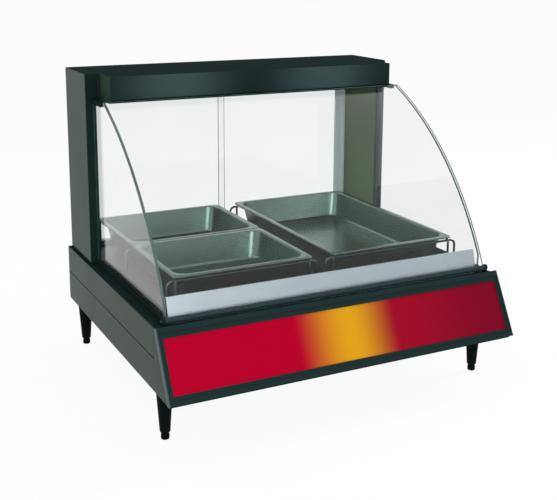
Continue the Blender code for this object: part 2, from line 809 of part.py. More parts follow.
def build_deck_heating():
    """The serpentine tubular element under the deck and the insulation below it."""
    tube_z = BASE_TOP_Z - DECK_SHEET - SEAT_GAP - ELEMENT_RADIUS
    rear = -REAR_SHELF - DECK_SHEET - ELEMENT_EDGE
    front = -SIDE_PANEL_LENGTH + DECK_SHEET + ELEMENT_EDGE
    pitch = (front - rear) / (ELEMENT_RUNS - 1)
    reach = DECK_HALF_WIDTH - ELEMENT_EDGE
    bend = -pitch / 2
    corners = []
    for run in range(ELEMENT_RUNS):
        y = rear + pitch * run
        side = 1 if run % 2 == 0 else -1
        corners += [(-side * reach, y, tube_z), (side * reach, y, tube_z)]
    path = bent_path(corners, bend - SEAT_GAP, CORNER_STEPS)
    element = wire("deck_element", path, ELEMENT_RADIUS, "heater_steel", resolution=1)
    pad_half = DECK_HALF_WIDTH - DECK_SHEET - PAD_EDGE
    pad = box(
        "insulation_pad",
        (-pad_half, pad_half),
        (-SIDE_PANEL_LENGTH + DECK_SHEET + PAD_EDGE, -REAR_SHELF - DECK_SHEET - PAD_EDGE),
        (DECK_BOTTOM_Z + DECK_SHEET + SEAT_GAP, tube_z - ELEMENT_RADIUS - SEAT_GAP),
        "mineral_wool",
    )
    return element, pad


def build_leg(x, y, name):
    """A tapered leg with eased ends and a bore for the foot's stud."""
    top = BASE_BOTTOM_Z - SEAT_GAP
    bottom = FOOT_HEIGHT
    profile = [
        (bottom, LEG_BOTTOM_RADIUS - LEG_ROUND / 2),
        (bottom + LEG_ROUND / 2, LEG_BOTTOM_RADIUS),
        (top - LEG_ROUND, LEG_TOP_RADIUS),
        (top, LEG_TOP_RADIUS - LEG_ROUND / 2),
    ]
    leg = turned(name + "_leg", profile, (x, y, 0), "Z", "plastic", origin=(x, y, bottom))
    bore_radius = FOOT_STUD_RADIUS + STUD_PLAY
    bore = turned(
        name + "_leg_bore",
        [(bottom - CUT_OVERRUN, bore_radius), (bottom + FOOT_STUD + STUD_PLAY, bore_radius)],
        (x, y, 0),
        "Z",
        "plastic",
        cutter=True,
    )
    return cut(leg, bore)


def build_foot(x, y, name):
    """A levelling foot that turns on its stud inside the leg."""
    seat = FOOT_HEIGHT - SEAT_GAP
    profile = [
        (0, FOOT_RADIUS - FOOT_CHAMFER),
        (FOOT_CHAMFER, FOOT_RADIUS),
        (FOOT_HEIGHT / 2, FOOT_RADIUS),
        (seat, FOOT_WAIST_RADIUS),
        (seat, FOOT_STUD_RADIUS),
        (FOOT_HEIGHT + FOOT_STUD, FOOT_STUD_RADIUS),
    ]
    return turned(name + "_foot", profile, (x, y, 0), "Z", "plastic")


def build_post(side, name):
    """A rear post: a closed sheet box with a recessed foot, open at the bottom."""
    low_x, high_x = sorted((side * POST_INNER_X, side * POST_OUTER_X))

    def section(inset):
        """Returns the post's outline set in by a distance."""
        corners = rectangle(
            low_x + inset, high_x - inset, -POST_FRONT_Y + inset, -POST_REAR_Y - inset
        )
        return rounded(corners, POST_CORNER, 2)

    neck = section(POST_NECK_INSET)
    full = section(0)
    shoulder = TOP_SEAT_Z + POST_SHADOW_GAP
    rings = [
        ring_at(neck, TOP_SEAT_Z),
        ring_at(neck, shoulder),
        ring_at(full, shoulder),
        ring_at(full, CASE_TOP_Z),
    ]
    post = loft(name, rings, "side_paint")
    inner_neck = section(POST_NECK_INSET + SHEET)
    inner_full = section(SHEET)
    hollow_rings = [
        ring_at(inner_neck, TOP_SEAT_Z - CUT_OVERRUN),
        ring_at(inner_neck, shoulder + SHEET),
        ring_at(inner_full, shoulder + SHEET),
        ring_at(inner_full, CASE_TOP_Z - SHEET),
    ]
    return cut(post, loft(name + "_hollow", hollow_rings, "plastic", cutter=True))


def canopy_outline(inset):
    """Returns the canopy's section, with its front lower edge rolled under, set in by a sheet."""
    rear = -POST_REAR_Y - inset
    front = -CANOPY_FRONT_Y + inset
    top = CASE_TOP_Z - inset
    bottom = CANOPY_BOTTOM_Z + inset
    corners = [(rear, bottom), (rear, top), (front, top), (front, bottom)]
    roll = CANOPY_ROLL - inset
    return rounded(corners, [0, 0, POST_CORNER - inset / 2, roll], CORNER_STEPS)


def build_canopy():
    """The canopy housing: a sheet box, open below between its front and rear lips."""
    shell = prism("canopy_housing", canopy_outline(0), "X", -CANOPY_HALF, CANOPY_HALF, "black_paint")
    rear, shoulder = -POST_REAR_Y, -POST_FRONT_Y
    block = box(
        "canopy_rear_block",
        (-BETWEEN_POSTS, BETWEEN_POSTS),
        (shoulder, rear),
        (CANOPY_BOTTOM_Z, CASE_TOP_Z),
        cutter=True,
    )
    join(shell, block)
    inner = CANOPY_HALF - SHEET
    hollow = prism("canopy_hollow", canopy_outline(SHEET), "X", -inner, inner, cutter=True)
    block_hollow = box(
        "canopy_rear_hollow",
        (-BETWEEN_POSTS + SHEET, BETWEEN_POSTS - SHEET),
        (shoulder + SHEET, rear - SHEET),
        (CANOPY_BOTTOM_Z + SHEET, CASE_TOP_Z - SHEET),
        cutter=True,
    )
    mouth = box(
        "canopy_mouth",
        (-inner, inner),
        (-CANOPY_FRONT_Y + CANOPY_LIP, -POST_REAR_Y - SHEET - CANOPY_REAR_LIP),
        (CANOPY_BOTTOM_Z - CUT_OVERRUN, CANOPY_BOTTOM_Z + SHEET + CUT_OVERRUN),
        cutter=True,
    )
    return cut(shell, hollow, block_hollow, mouth)


def reflector_half():
    """Returns half the reflector's length, between the canopy's ends."""
    return CANOPY_HALF - SHEET - SEAT_GAP


def build_reflector():
    """The polished reflector, a folded trough that flares down to the canopy's lips."""
    seat = CANOPY_BOTTOM_Z + SHEET + SEAT_GAP
    roof = CASE_TOP_Z - SHEET - REFLECTOR_ROOF_DROP
    rear = -POST_REAR_Y - SHEET - SEAT_GAP
    front = -CANOPY_FRONT_Y + CANOPY_ROLL + 2 * SHEET
    path = [
        (rear, seat),
        (rear - REFLECTOR_FOOT, seat),
        (rear - REFLECTOR_FOOT - REFLECTOR_FLARE, roof),
        (front + REFLECTOR_FLARE, roof),
        (front, seat),
    ]
    half = reflector_half()
    return prism("reflector", folded(path, -SHEET), "X", -half, half, "aluminium")


def build_heater():
    """The infrared element and the ceramic clips that hang it from the reflector."""
    half = reflector_half() - HEATER_END
    rod = turned(
        "infrared_element",
        [(-half, HEATER_RADIUS), (half, HEATER_RADIUS)],
        (0, -HEATER_Y, HEATER_Z),
        "X",
        "heater_steel",
        sides=12,
    )
    roof = CASE_TOP_Z - SHEET - REFLECTOR_ROOF_DROP - SEAT_GAP
    for side, name in ((-1, "left_element_clip"), (1, "right_element_clip")):
        low_x = side * (half - CLIP_INSET) - CLIP_THICKNESS / 2
        high_x = low_x + CLIP_THICKNESS
        outline = rectangle(
            -HEATER_Y - CLIP_WIDTH / 2, -HEATER_Y + CLIP_WIDTH / 2, HEATER_Z - CLIP_WIDTH / 2, roof
        )
        clip = prism(name, outline, "X", low_x, high_x, "ceramic")
        reach = HEATER_RADIUS + CLIP_HOLE_PLAY
        hole = turned(
            name + "_hole",
            [(low_x - CUT_OVERRUN, reach), (high_x + CUT_OVERRUN, reach)],
            (0, -HEATER_Y, HEATER_Z),
            "X",
            "ceramic",
            sides=12,
            cutter=True,
        )
        cut(clip, hole)
    return rod


def build_lamp(side, name):
    """A lamp in its socket, which is fixed to the canopy's end wall."""
    end = side * (BETWEEN_POSTS - SHEET - SEAT_GAP)
    start = -side * SOCKET_LENGTH
    profile = [(0, SOCKET_RADIUS), (start, SOCKET_RADIUS)]
    socket = turned(name + "_socket", profile, (end, -LAMP_Y, LAMP_Z), "X", "ceramic", sides=16)
    reach = LAMP_BASE_RADIUS + SOCKET_PLAY
    depth = start + side * (LAMP_BASE + SOCKET_PLAY)
    bore = turned(
        name + "_socket_bore",
        [(start - side * CUT_OVERRUN, reach), (depth, reach)],
        (end, -LAMP_Y, LAMP_Z),
        "X",
        "ceramic",
        sides=16,
        cutter=True,
    )
    cut(socket, bore)
    body = LAMP_LENGTH
    neck = body * LAMP_NECK_SHARE
    shape = [
        (0, LAMP_BASE_RADIUS),
        (-LAMP_BASE, LAMP_BASE_RADIUS),
        (-LAMP_BASE - SEAT_GAP, LAMP_NECK_RADIUS),
        (-LAMP_BASE - neck, LAMP_RADIUS),
    ]
    dome = body - neck - LAMP_RADIUS
    for step in range(CORNER_STEPS):
        angle = math.pi / 2 * step / CORNER_STEPS
        shape.append(
            (-LAMP_BASE - neck - dome - LAMP_RADIUS * math.sin(angle), LAMP_RADIUS * math.cos(angle))
        )
    profile = [(side * distance, radius) for distance, radius in shape]
    place = (end + start + side * LAMP_BASE, -LAMP_Y, LAMP_Z)
    return turned(name, profile, place, "X", "lamp_glass", sides=14)


def build_guard():
    """The wire guard whose ribs lie on the canopy's lips, below the element and lamps."""
    radius = GUARD_WIRE_RADIUS
    z = CANOPY_BOTTOM_Z + SHEET + SEAT_GAP + radius
    half = reflector_half() - GUARD_END
    front = -CANOPY_FRONT_Y + CANOPY_ROLL + 3 * SHEET + GUARD_CLEARANCE
    rear = -POST_REAR_Y - SHEET - REFLECTOR_FOOT - 2 * SHEET - GUARD_CLEARANCE
    ribs = []
    for index in range(GUARD_RIBS):
        x = (half - GUARD_RIB_INSET) * (2 * index / (GUARD_RIBS - 1) - 1)
        ribs.append(wire("guard_rib", [(x, rear, z), (x, front, z)], radius, resolution=1))
    first = -POST_REAR_Y - SHEET - CANOPY_REAR_LIP - 2 * radius
    last = -CANOPY_FRONT_Y + CANOPY_LIP + 2 * radius
    top = z + 2 * radius - RACK_WELD
    runs = []
    for index in range(GUARD_RUNS):
        y = first + (last - first) * index / (GUARD_RUNS - 1)
        runs.append(wire("guard_run", [(-half, y, top), (half, y, top)], radius, resolution=1))
    guard = runs[0]
    guard.name = "lamp_guard"
    return join(guard, *[as_tool(piece) for piece in ribs + runs[1:]])


def build_front_glass():
    """The curved front glass and the round rail that carries its lower edge on two pins."""
    outer = glass_arc(GLASS / 2)
    inner = glass_arc(-GLASS / 2)
    half = FRONT_GLASS_HALF
    pivot = (0, -PIVOT_Y, PIVOT_Z)
    pane = prism("front_glass", outer + inner[::-1], "X", -half, half, "clear_glass", pivot)
    smooth(pane)
    shoulder = half + PIVOT_RAIL_END
    profile = [
        (-shoulder - PIN_LENGTH, PIN_RADIUS),
        (-shoulder, PIN_RADIUS),
        (-shoulder, PIVOT_RAIL_RADIUS),
        (shoulder, PIVOT_RAIL_RADIUS),
        (shoulder, PIN_RADIUS),
        (shoulder + PIN_LENGTH, PIN_RADIUS),
    ]
    rail = turned("pivot_rail", profile, pivot, "X", "black_paint", sides=PIVOT_RAIL_SIDES)
    low, next_up = (Vector(point) for point in glass_arc()[:2])
    up = (next_up - low).normalized()
    across = Vector((-up.y, up.x))
    play = GLASS / 2 + SEAT_GAP
    base = low - up * SEAT_GAP
    far = low + up * (2 * PIVOT_RAIL_RADIUS)
    corners = [base + across * play, far + across * play, far - across * play, base - across * play]
    reach = half + SEAT_GAP
    slot = prism("rail_slot", [tuple(c) for c in corners], "X", -reach, reach, cutter=True)
    return pane, cut(rail, slot)


def build_pivot_bracket(side, name):
    """A bracket with a round head, screwed to the base, that holds one pin of the pivot rail."""
    low_x = FRONT_GLASS_HALF + PIVOT_RAIL_END + BRACKET_GAP
    high_x = low_x + BRACKET_THICKNESS
    start, end = sorted((side * low_x, side * high_x))
    outline = []
    steps = 2 * CORNER_STEPS
    for step in range(steps + 1):
        angle = math.pi * step / steps
        outline.append(
            (-PIVOT_Y + BRACKET_RADIUS * math.cos(angle), PIVOT_Z + BRACKET_RADIUS * math.sin(angle))
        )
    foot_front = front_y_at(TOP_SEAT_Z, SIGN_DEPTH + SHEET) + SHEET
    outline += [(foot_front, TOP_SEAT_Z), (-PIVOT_Y + BRACKET_RADIUS, TOP_SEAT_Z)]
    head = prism(name, outline, "X", start, end, "black_paint")
    reach = PIN_RADIUS + PIN_PLAY
    hole = turned(
        name + "_hole",
        [(start - CUT_OVERRUN, reach), (end + CUT_OVERRUN, reach)],
        (0, -PIVOT_Y, PIVOT_Z),
        "X",
        "black_paint",
        sides=PIVOT_RAIL_SIDES,
        cutter=True,
    )
    return cut(head, hole)


def build_side_glass(side, name):
    """A flat side pane whose front edge follows the curve of the front glass."""
    offset = -GLASS / 2 - SIDE_GLASS_CLEARANCE
    arc = glass_arc(offset)
    rear = -POST_FRONT_Y - SIDE_GLASS_SETBACK
    bottom = TOP_SEAT_Z + CHANNEL_FLOOR + SEAT_GAP
    top = TOP_RAIL_Z - CHANNEL_FLOOR - SEAT_GAP
    clear = [p for p in arc if p[1] > PIVOT_Z + 2 * PIVOT_RAIL_RADIUS and p[1] < top]
    outline = [(rear, bottom), (-CHANNEL_FRONT_Y, bottom)] + clear + [(clear[-1][0], top), (rear, top)]
    low_x = side * SIDE_GLASS_X - GLASS / 2
    return prism(name, outline, "X", low_x, low_x + GLASS, "clear_glass")


def channel_outline(centre, base, height, opens_up):
    """Returns the section of a channel that takes a glass edge."""
    half = GLASS / 2 + GLASS_PLAY
    wide = CHANNEL_HALF
    sign = 1 if opens_up else -1
    floor = base + sign * CHANNEL_FLOOR
    tip = base + sign * height
    return [
        (centre - wide, base),
        (centre + wide, base),
        (centre + wide, tip),
        (centre + half, tip),
        (centre + half, floor),
        (centre - half, floor),
        (centre - half, tip),
        (centre - wide, tip),
    ]


def build_side_rails(side, name):
    """The lower channel with its chamfered rear end and the short top rail of one side pane."""
    centre = side * SIDE_GLASS_X
    rear = -POST_FRONT_Y - SEAT_GAP
    lower = prism(
        name + "_glass_channel",
        channel_outline(centre, TOP_SEAT_Z, CHANNEL_HEIGHT, True),
        "Y",
        rear,
        -CHANNEL_FRONT_Y,
        "black_paint",
    )
    tip = TOP_SEAT_Z + CHANNEL_HEIGHT
    chamfer_outline = [
        (rear + CUT_OVERRUN, tip - CHANNEL_CHAMFER - CUT_OVERRUN),
        (rear + CUT_OVERRUN, tip + CUT_OVERRUN),
        (rear - CHANNEL_CHAMFER - CUT_OVERRUN, tip + CUT_OVERRUN),
    ]
    reach = CHANNEL_HALF + CUT_OVERRUN
    wedge = prism(
        name + "_channel_chamfer", chamfer_outline, "X", centre - reach, centre + reach, cutter=True
    )
    cut(lower, wedge)
    upper = prism(
        name + "_top_rail",
        channel_outline(centre, TOP_RAIL_Z, TOP_RAIL_HEIGHT, False),
        "Y",
        rear,
        -TOP_RAIL_FRONT_Y,
        "black_paint",
    )
    return lower, upper


def build_apron():
    """The satin apron, folded from sheet, behind the lower edge of the front glass."""
    top_y = glass_y_at(APRON_TOP_Z, -GLASS / 2) + APRON_CLEARANCE
    path = [
        (-APRON_BASE_Y + APRON_FOOT, TOP_SEAT_Z),
        (-APRON_BASE_Y, TOP_SEAT_Z),
        (top_y, APRON_TOP_Z),
        (top_y + APRON_RETURN, APRON_TOP_Z - APRON_RETURN_DROP),
    ]
    return prism(
        "front_apron", folded(path, -SHEET), "X", -APRON_HALF_WIDTH, APRON_HALF_WIDTH, "aluminium"
    )


def build_sign():
    """The sloping sign holder: a stepped frame with a slot, its insert and two end caps."""
    half = SIGN_HALF - SIGN_CAP - SEAT_GAP
    height = sign_height()
    corners = [
        sign_point(0, 0),
        sign_point(height, 0),
        sign_point(height, SIGN_DEPTH),
        sign_point(0, SIGN_DEPTH),
    ]
    frame = prism("sign_frame", corners, "X", -half, half, "black_paint")
    top, bottom = SIGN_TOP_BORDER, height - SIGN_BOTTOM_BORDER
    ledge, back = SIGN_STEP + SIGN_LIP, SIGN_STEP + SIGN_LIP + SIGN_SLOT
    through = half + CUT_OVERRUN
    recess_corners = [
        sign_point(top * SIGN_RIM_SHARE, -CUT_OVERRUN),
        sign_point(height - SIGN_BOTTOM_BORDER * SIGN_RIM_SHARE, -CUT_OVERRUN),
        sign_point(height - SIGN_BOTTOM_BORDER * SIGN_RIM_SHARE, SIGN_STEP),
        sign_point(top * SIGN_RIM_SHARE, SIGN_STEP),
    ]
    recess = prism("sign_recess", recess_corners, "X", -through, through, cutter=True)
    window_corners = [
        sign_point(top, -CUT_OVERRUN),
        sign_point(bottom, -CUT_OVERRUN),
        sign_point(bottom, back),
        sign_point(top, back),
    ]
    inner = half - SIGN_END_BORDER
    window = prism("sign_window", window_corners, "X", -inner, inner, cutter=True)
    slot_corners = [
        sign_point(top - SIGN_BITE, ledge),
        sign_point(bottom + SIGN_BITE, ledge),
        sign_point(bottom + SIGN_BITE, back),
        sign_point(top - SIGN_BITE, back),
    ]
    slot = prism("sign_slot", slot_corners, "X", -through, through, cutter=True)
    cut(frame, recess, window, slot)
    near, far = ledge + SEAT_GAP, back - SEAT_GAP
    first, last = top - SIGN_BITE + SEAT_GAP, bottom + SIGN_BITE - SEAT_GAP
    insert_corners = [
        sign_point(first, near),
        sign_point(last, near),
        sign_point(last, far),
        sign_point(first, far),
    ]
    prism("sign_insert", insert_corners, "X", -half, half, "insert_red")
    step = SIGN_CAP_STEP
    cap_corners = [
        sign_point(0, 0),
        sign_point(height, 0),
        sign_point(height, SIGN_DEPTH - step),
        sign_point(height - step, SIGN_DEPTH),
        sign_point(step, SIGN_DEPTH),
        sign_point(0, SIGN_DEPTH - step),
    ]
    for side, name in ((-1, "left_sign_cap"), (1, "right_sign_cap")):
        start, end = sorted((side * (half + SEAT_GAP), side * SIGN_HALF))
        prism(name, cap_corners, "X", start, end, "aluminium")


def track_outline(base, opens_up, groove):
    """Returns the section of a door track with its two grooves."""
    sign = 1 if opens_up else -1
    floor = base + sign * TRACK_FLOOR
    tip = floor + sign * groove
    slot = DOOR_GLASS / 2 + GLASS_PLAY
    rear = -DOOR_REAR_Y + slot + TRACK_WALL
    front = -DOOR_FRONT_Y - slot - TRACK_WALL
    points = [(rear, base), (rear, tip)]
    for y in (-DOOR_REAR_Y, -DOOR_FRONT_Y):
        points += [(y + slot, tip), (y + slot, floor), (y - slot, floor), (y - slot, tip)]
    return points + [(front, tip), (front, base)]


def build_tracks():
    """The lower and upper door tracks between the posts."""
    lower = track_outline(TOP_SEAT_Z, True, TRACK_GROOVE)
    upper = track_outline(CANOPY_BOTTOM_Z - SEAT_GAP, False, UPPER_GROOVE)
    prism("lower_door_track", lower, "X", -BETWEEN_POSTS, BETWEEN_POSTS, "aluminium")
    prism("upper_door_track", upper, "X", -BETWEEN_POSTS, BETWEEN_POSTS, "aluminium")


def door_span(side):
    """Returns the x range of a closed door on one side."""
    outer = BETWEEN_POSTS - DOOR_END_GAP
    return tuple(sorted((side * outer, -side * DOOR_OVERLAP / 2)))


def build_door(side, name):
    """A sliding glass door and the grooved full-height pull along its outer edge."""
    plane = -DOOR_REAR_Y if side < 0 else -DOOR_FRONT_Y
    low_x, high_x = door_span(side)
    bottom = TOP_SEAT_Z + TRACK_FLOOR + SEAT_GAP
    roof = CANOPY_BOTTOM_Z - SEAT_GAP - TRACK_FLOOR
    edge = PULL_WIDTH - PULL_BITE
    glass_low = low_x + edge if side < 0 else low_x
    glass_high = high_x if side < 0 else high_x - edge
    half = DOOR_GLASS / 2
    origin = ((low_x + high_x) / 2, plane, bottom)
    outline = rectangle(glass_low, glass_high, plane - half, plane + half)
    prism(name + "_glass", outline, "Z", bottom, roof - DOOR_LIFT, "clear_glass", origin)
    wide = PULL_THICKNESS / 2
    outer = low_x if side < 0 else high_x
    inner = outer - side * PULL_WIDTH
    bite = outer - side * (edge - SEAT_GAP)
    gap = half + SEAT_GAP
    start = outer - side * PULL_GROOVE_START
    stop = start - side * PULL_GROOVE_WIDTH
    web = wide - PULL_GROOVE_DEPTH
    face = [(outer, wide), (start, wide), (start, web), (stop, web), (stop, wide)]
    face += [(inner, wide), (inner, gap), (bite, gap)]
    section = [(x, plane + y) for x, y in face] + [(x, plane - y) for x, y in reversed(face)]
    low_z = TOP_SEAT_Z + TRACK_FLOOR + TRACK_GROOVE + SEAT_GAP
    high_z = roof - UPPER_GROOVE - DOOR_LIFT
    prism(name + "_pull", section, "Z", low_z, high_z, "aluminium", origin)


def build_controls():
    """The thermostat with its knob, the rocker switches in their bezel and the power inlet."""
    centre = (KNOB_X, 0, CONTROL_Z)
    face = KNOB_STAND_OFF
    tip = face + KNOB_LENGTH
    profile = [
        (-SHEET - SHAFT_LENGTH, SHAFT_RADIUS),
        (face, SHAFT_RADIUS),
        (face, KNOB_RADIUS),
        (face + KNOB_LENGTH / 4, KNOB_RADIUS),
        (tip - KNOB_LENGTH / 4, KNOB_RADIUS - KNOB_LENGTH / 10),
        (tip, KNOB_RADIUS - KNOB_LENGTH / 5),
    ]
    knob = turned("thermostat_knob", profile, centre, "Y", "plastic")
    ridge = as_tool(
        prism(
            "knob_ridge",
            rectangle(
                KNOB_X - KNOB_RIDGE_WIDTH / 2,
                KNOB_X + KNOB_RIDGE_WIDTH / 2,
                CONTROL_Z - KNOB_RADIUS / 2,
                CONTROL_Z + KNOB_RADIUS - KNOB_LENGTH / 4,
            ),
            "Y",
            tip - KNOB_RIDGE_RISE,
            tip + KNOB_RIDGE_RISE,
        )
    )
    join(knob, ridge)
    half = THERMOSTAT_WIDTH / 2
    back = -SHEET - SEAT_GAP
    case = box(
        "thermostat",
        (KNOB_X - half, KNOB_X + half),
        (back - THERMOSTAT_DEPTH, back),
        (CONTROL_Z - half, CONTROL_Z + half),
        "plastic",
    )
    reach = SHAFT_RADIUS + SHAFT_PLAY
    bore = turned(
        "thermostat_bore",
        [(back - SHAFT_LENGTH - SHAFT_PLAY, reach), (CUT_OVERRUN, reach)],
        centre,
        "Y",
        "plastic",
        cutter=True,
    )
    cut(case, bore)
    build_switches()
    build_inlet()


def build_switches():
    """Two rocker switches in one bezel."""
    span = (SWITCH_PITCH + ROCKER_WIDTH) / 2
    low, high = CONTROL_Z - ROCKER_HEIGHT / 2, CONTROL_Z + ROCKER_HEIGHT / 2
    snug = BEZEL_MARGIN / 2
    bezel = box(
        "switch_bezel",
        (SWITCH_X - span - BEZEL_MARGIN, SWITCH_X + span + BEZEL_MARGIN),
        (SEAT_GAP, SEAT_GAP + BEZEL_RIM),
        (low - BEZEL_MARGIN, high + BEZEL_MARGIN),
    )
    body = as_tool(
        box(
            "bezel_body",
            (SWITCH_X - span - snug, SWITCH_X + span + snug),
            (-BEZEL_DEPTH, SEAT_GAP + BEZEL_RIM / 2),
            (low - snug, high + snug),
        )
    )
    join(bezel, body)
    play = ROCKER_PLAY
    for side, name in ((-1, "heat_switch"), (1, "light_switch")):
        x = SWITCH_X + side * SWITCH_PITCH / 2
        half = ROCKER_WIDTH / 2
        well = box(
            name + "_well",
            (x - half - play, x + half + play),
            (-BEZEL_DEPTH + BEZEL_RIM, BEZEL_RIM + CUT_OVERRUN),
            (low - play, high + play),
            cutter=True,
        )
        cut(bezel, well)
        pivot = (x, -ROCKER_PIVOT_DEPTH, CONTROL_Z)
        prism(name, rocker_outline(), "X", x - half, x + half, "switch_red", pivot)


def rocker_outline():
    """Returns (y, z) round a rocker whose ends are arcs about its pivot, its top standing out."""
    radius = ROCKER_HEIGHT / 2
    face, back = ROCKER_FACE_ANGLE, ROCKER_BACK_ANGLE
    polar = [(radius, face + (back - face) * step / CORNER_STEPS) for step in range(CORNER_STEPS + 1)]
    upper = [(reach * math.sin(angle), reach * math.cos(angle)) for reach, angle in polar]
    lower = [(y, -z) for y, z in reversed(upper)]
    dip = radius * math.sin(face) * math.cos(face)
    points = upper + [(-ROCKER_DEPTH, 0)] + lower + [(dip, 0)]
    tilt = -ROCKER_THROW / 2
    return [
        (
            y * math.cos(tilt) - z * math.sin(tilt) - ROCKER_PIVOT_DEPTH,
            y * math.sin(tilt) + z * math.cos(tilt) + CONTROL_Z,
        )
        for y, z in points
    ]


def build_inlet():
    """The power inlet, a shrouded socket set in the rear panel."""
    half_x, half_z = INLET_WIDTH / 2, INLET_HEIGHT / 2
    inlet = box(
        "power_inlet",
        (INLET_X - half_x - INLET_RIM, INLET_X + half_x + INLET_RIM),
        (SEAT_GAP, SEAT_GAP + BEZEL_RIM),
        (CONTROL_Z - half_z - INLET_RIM, CONTROL_Z + half_z + INLET_RIM),
    )
    shell = as_tool(
        box(
            "inlet_shell",
            (INLET_X - half_x, INLET_X + half_x),
            (-INLET_DEPTH, SEAT_GAP + BEZEL_RIM / 2),
            (CONTROL_Z - half_z, CONTROL_Z + half_z),
        )
    )
    join(inlet, shell)
    mouth = box(
        "inlet_mouth",
        (INLET_X - half_x + INLET_WALL, INLET_X + half_x - INLET_WALL),
        (-INLET_DEPTH + INLET_WALL, BEZEL_RIM + CUT_OVERRUN),
        (CONTROL_Z - half_z + INLET_WALL, CONTROL_Z + half_z - INLET_WALL),
        cutter=True,
    )
    return cut(inlet, mouth)


def build_pan(name, centre_x, rear_y, length):
    """A drawn steel pan: tapered walls, rounded corners and a rolled rim."""
    half = PAN_WIDTH / 2
    front_y = rear_y - length

    def section(inset, corner, z):
        """Returns a rounded rectangle set in from the rim's edge, at a height."""
        span_x = (centre_x - half + inset, centre_x + half - inset)
        corners = rectangle(*span_x, front_y + inset, rear_y - inset)
        return ring_at(rounded(corners, corner, PAN_CORNER_STEPS), z)

    top = PAN_RIM_Z
    floor = PAN_FLOOR_Z
    wall = PAN_RIM
    foot = PAN_RIM + PAN_DRAFT
    sheet = PAN_SHEET
    inner = PAN_CORNER - sheet
    rings = [
        section(foot + sheet, PAN_FLOOR_CORNER - PAN_RIM_LIP, floor),
        section(foot - PAN_RIM_LIP, PAN_FLOOR_CORNER, floor + PAN_RIM_LIP),
        section(wall, PAN_CORNER, top - sheet),
        section(sheet, PAN_CORNER + PAN_RIM / 2, top - sheet),
        section(sheet, PAN_CORNER + PAN_RIM / 2, top - PAN_RIM_LIP),
        section(0, PAN_CORNER + PAN_RIM / 2, top - PAN_RIM_LIP),
        section(0, PAN_CORNER + PAN_RIM / 2, top - sheet),
        section(sheet, PAN_CORNER + PAN_RIM / 2, top),
        section(wall + sheet, inner, top),
        section(foot - PAN_RIM_LIP + sheet, PAN_FLOOR_CORNER - sheet, floor + PAN_RIM_LIP + sheet),
        section(foot + 2 * sheet, PAN_FLOOR_CORNER - PAN_RIM_LIP, floor + sheet),
    ]
    centre = (centre_x, (rear_y + front_y) / 2, floor)
    return smooth(loft(name, rings, "steel", centre))


def rack_centre(side):
    """Returns the x of a rack's middle."""
    return side * RACK_PITCH / 2 + RACK_OFFSET


def build_rack(side, name, has_middle):
    """A wire rack: two side rails and the cross wires below them, all bent down as legs."""
    centre = rack_centre(side)
    rail = PAN_WIDTH / 2 - RACK_RAIL_INSET
    rail_z = PAN_RIM_Z - PAN_RIM_LIP - SEAT_GAP - WIRE_RADIUS
    cross_z = rail_z - 2 * WIRE_RADIUS + RACK_WELD
    foot_z = TOP_SEAT_Z
    rear = -PAN_REAR_Y - PAN_RIM / 2
    front = -PAN_REAR_Y - PAN_LENGTH + PAN_RIM / 2
    wires = []
    for end in (-1, 1):
        x = centre + end * rail
        points = [(x, rear, foot_z), (x, rear, rail_z), (x, front, rail_z), (x, front, foot_z)]
        wires.append(wire(name + "_rail", bent_path(points, RACK_BEND, RACK_BEND_STEPS), WIRE_RADIUS))
    reach = rail + RACK_CROSS_OVERHANG
    rows = [rear - RACK_WELD, front + RACK_WELD]
    if has_middle:
        rows.append((rear + front) / 2)
    for y in rows:
        points = [
            (centre - reach, y, foot_z),
            (centre - reach, y, cross_z),
            (centre + reach, y, cross_z),
            (centre + reach, y, foot_z),
        ]
        wires.append(wire(name + "_cross", bent_path(points, RACK_BEND, RACK_BEND_STEPS), WIRE_RADIUS))
    rack = wires[0]
    rack.name = name
    return join(rack, *[as_tool(piece) for piece in wires[1:]])


def build_pans():
    """A full-size pan in the right rack and two half-size pans in the left one."""
    build_pan("full_pan", rack_centre(1), -PAN_REAR_Y, PAN_LENGTH)
    build_pan("rear_half_pan", rack_centre(-1), -PAN_REAR_Y, HALF_PAN_LENGTH)
    front_start = -PAN_REAR_Y - HALF_PAN_LENGTH - PAN_GAP
    build_pan("front_half_pan", rack_centre(-1), front_start, HALF_PAN_LENGTH)


def build_case():
    """Builds every piece of the case."""
    build_lower_body()
    build_side_panel(-1, "left_side_panel")
    build_side_panel(1, "right_side_panel")
    build_rear_panel()
    build_bottom_cover()
    build_deck()
    build_deck_heating()
    for side, hand in ((-1, "left"), (1, "right")):
        for y, end in ((-LEG_FRONT_Y, "front"), (-LEG_REAR_Y, "rear")):
            build_leg(side * LEG_X, y, end + "_" + hand)
            build_foot(side * LEG_X, y, end + "_" + hand)
        build_post(side, hand + "_post")
        build_pivot_bracket(side, hand + "_pivot_bracket")
        build_side_glass(side, hand + "_side_glass")
        build_side_rails(side, hand)
        build_lamp(side, hand + "_lamp")
        build_door(side, hand + "_door")
    build_canopy()
    build_reflector()
    build_heater()
    build_front_glass()
    build_apron()
    build_sign()
    build_tracks()
    build_controls()
    build_guard()
    build_rack(-1, "left_rack", True)
    build_rack(1, "right_rack", False)
    build_pans()


clear_scene()
CASE = bpy.data.objects.new("case", None)
bpy.context.scene.collection.objects.link(CASE)
CASE.location = (0, CASE_SHIFT_Y, 0)
build_case()
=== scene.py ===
"""Looks of a countertop heated display case with two pan racks.

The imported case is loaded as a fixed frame. Classes for each sub-assembly then build the fine shapes
around it, frozen finishes give every surface its material, and a plain pale studio lights it.

Lengths are metres, +Z is up, and the customer's side with the sign faces -Y.
"""

import json
import logging
import math
from collections.abc import Callable, Iterable, Sequence
from dataclasses import dataclass, field
from enum import Enum

import bmesh
import bpy
from bmesh.types import BMEdge, BMesh, BMFace, BMVert
from mathutils import Matrix, Vector

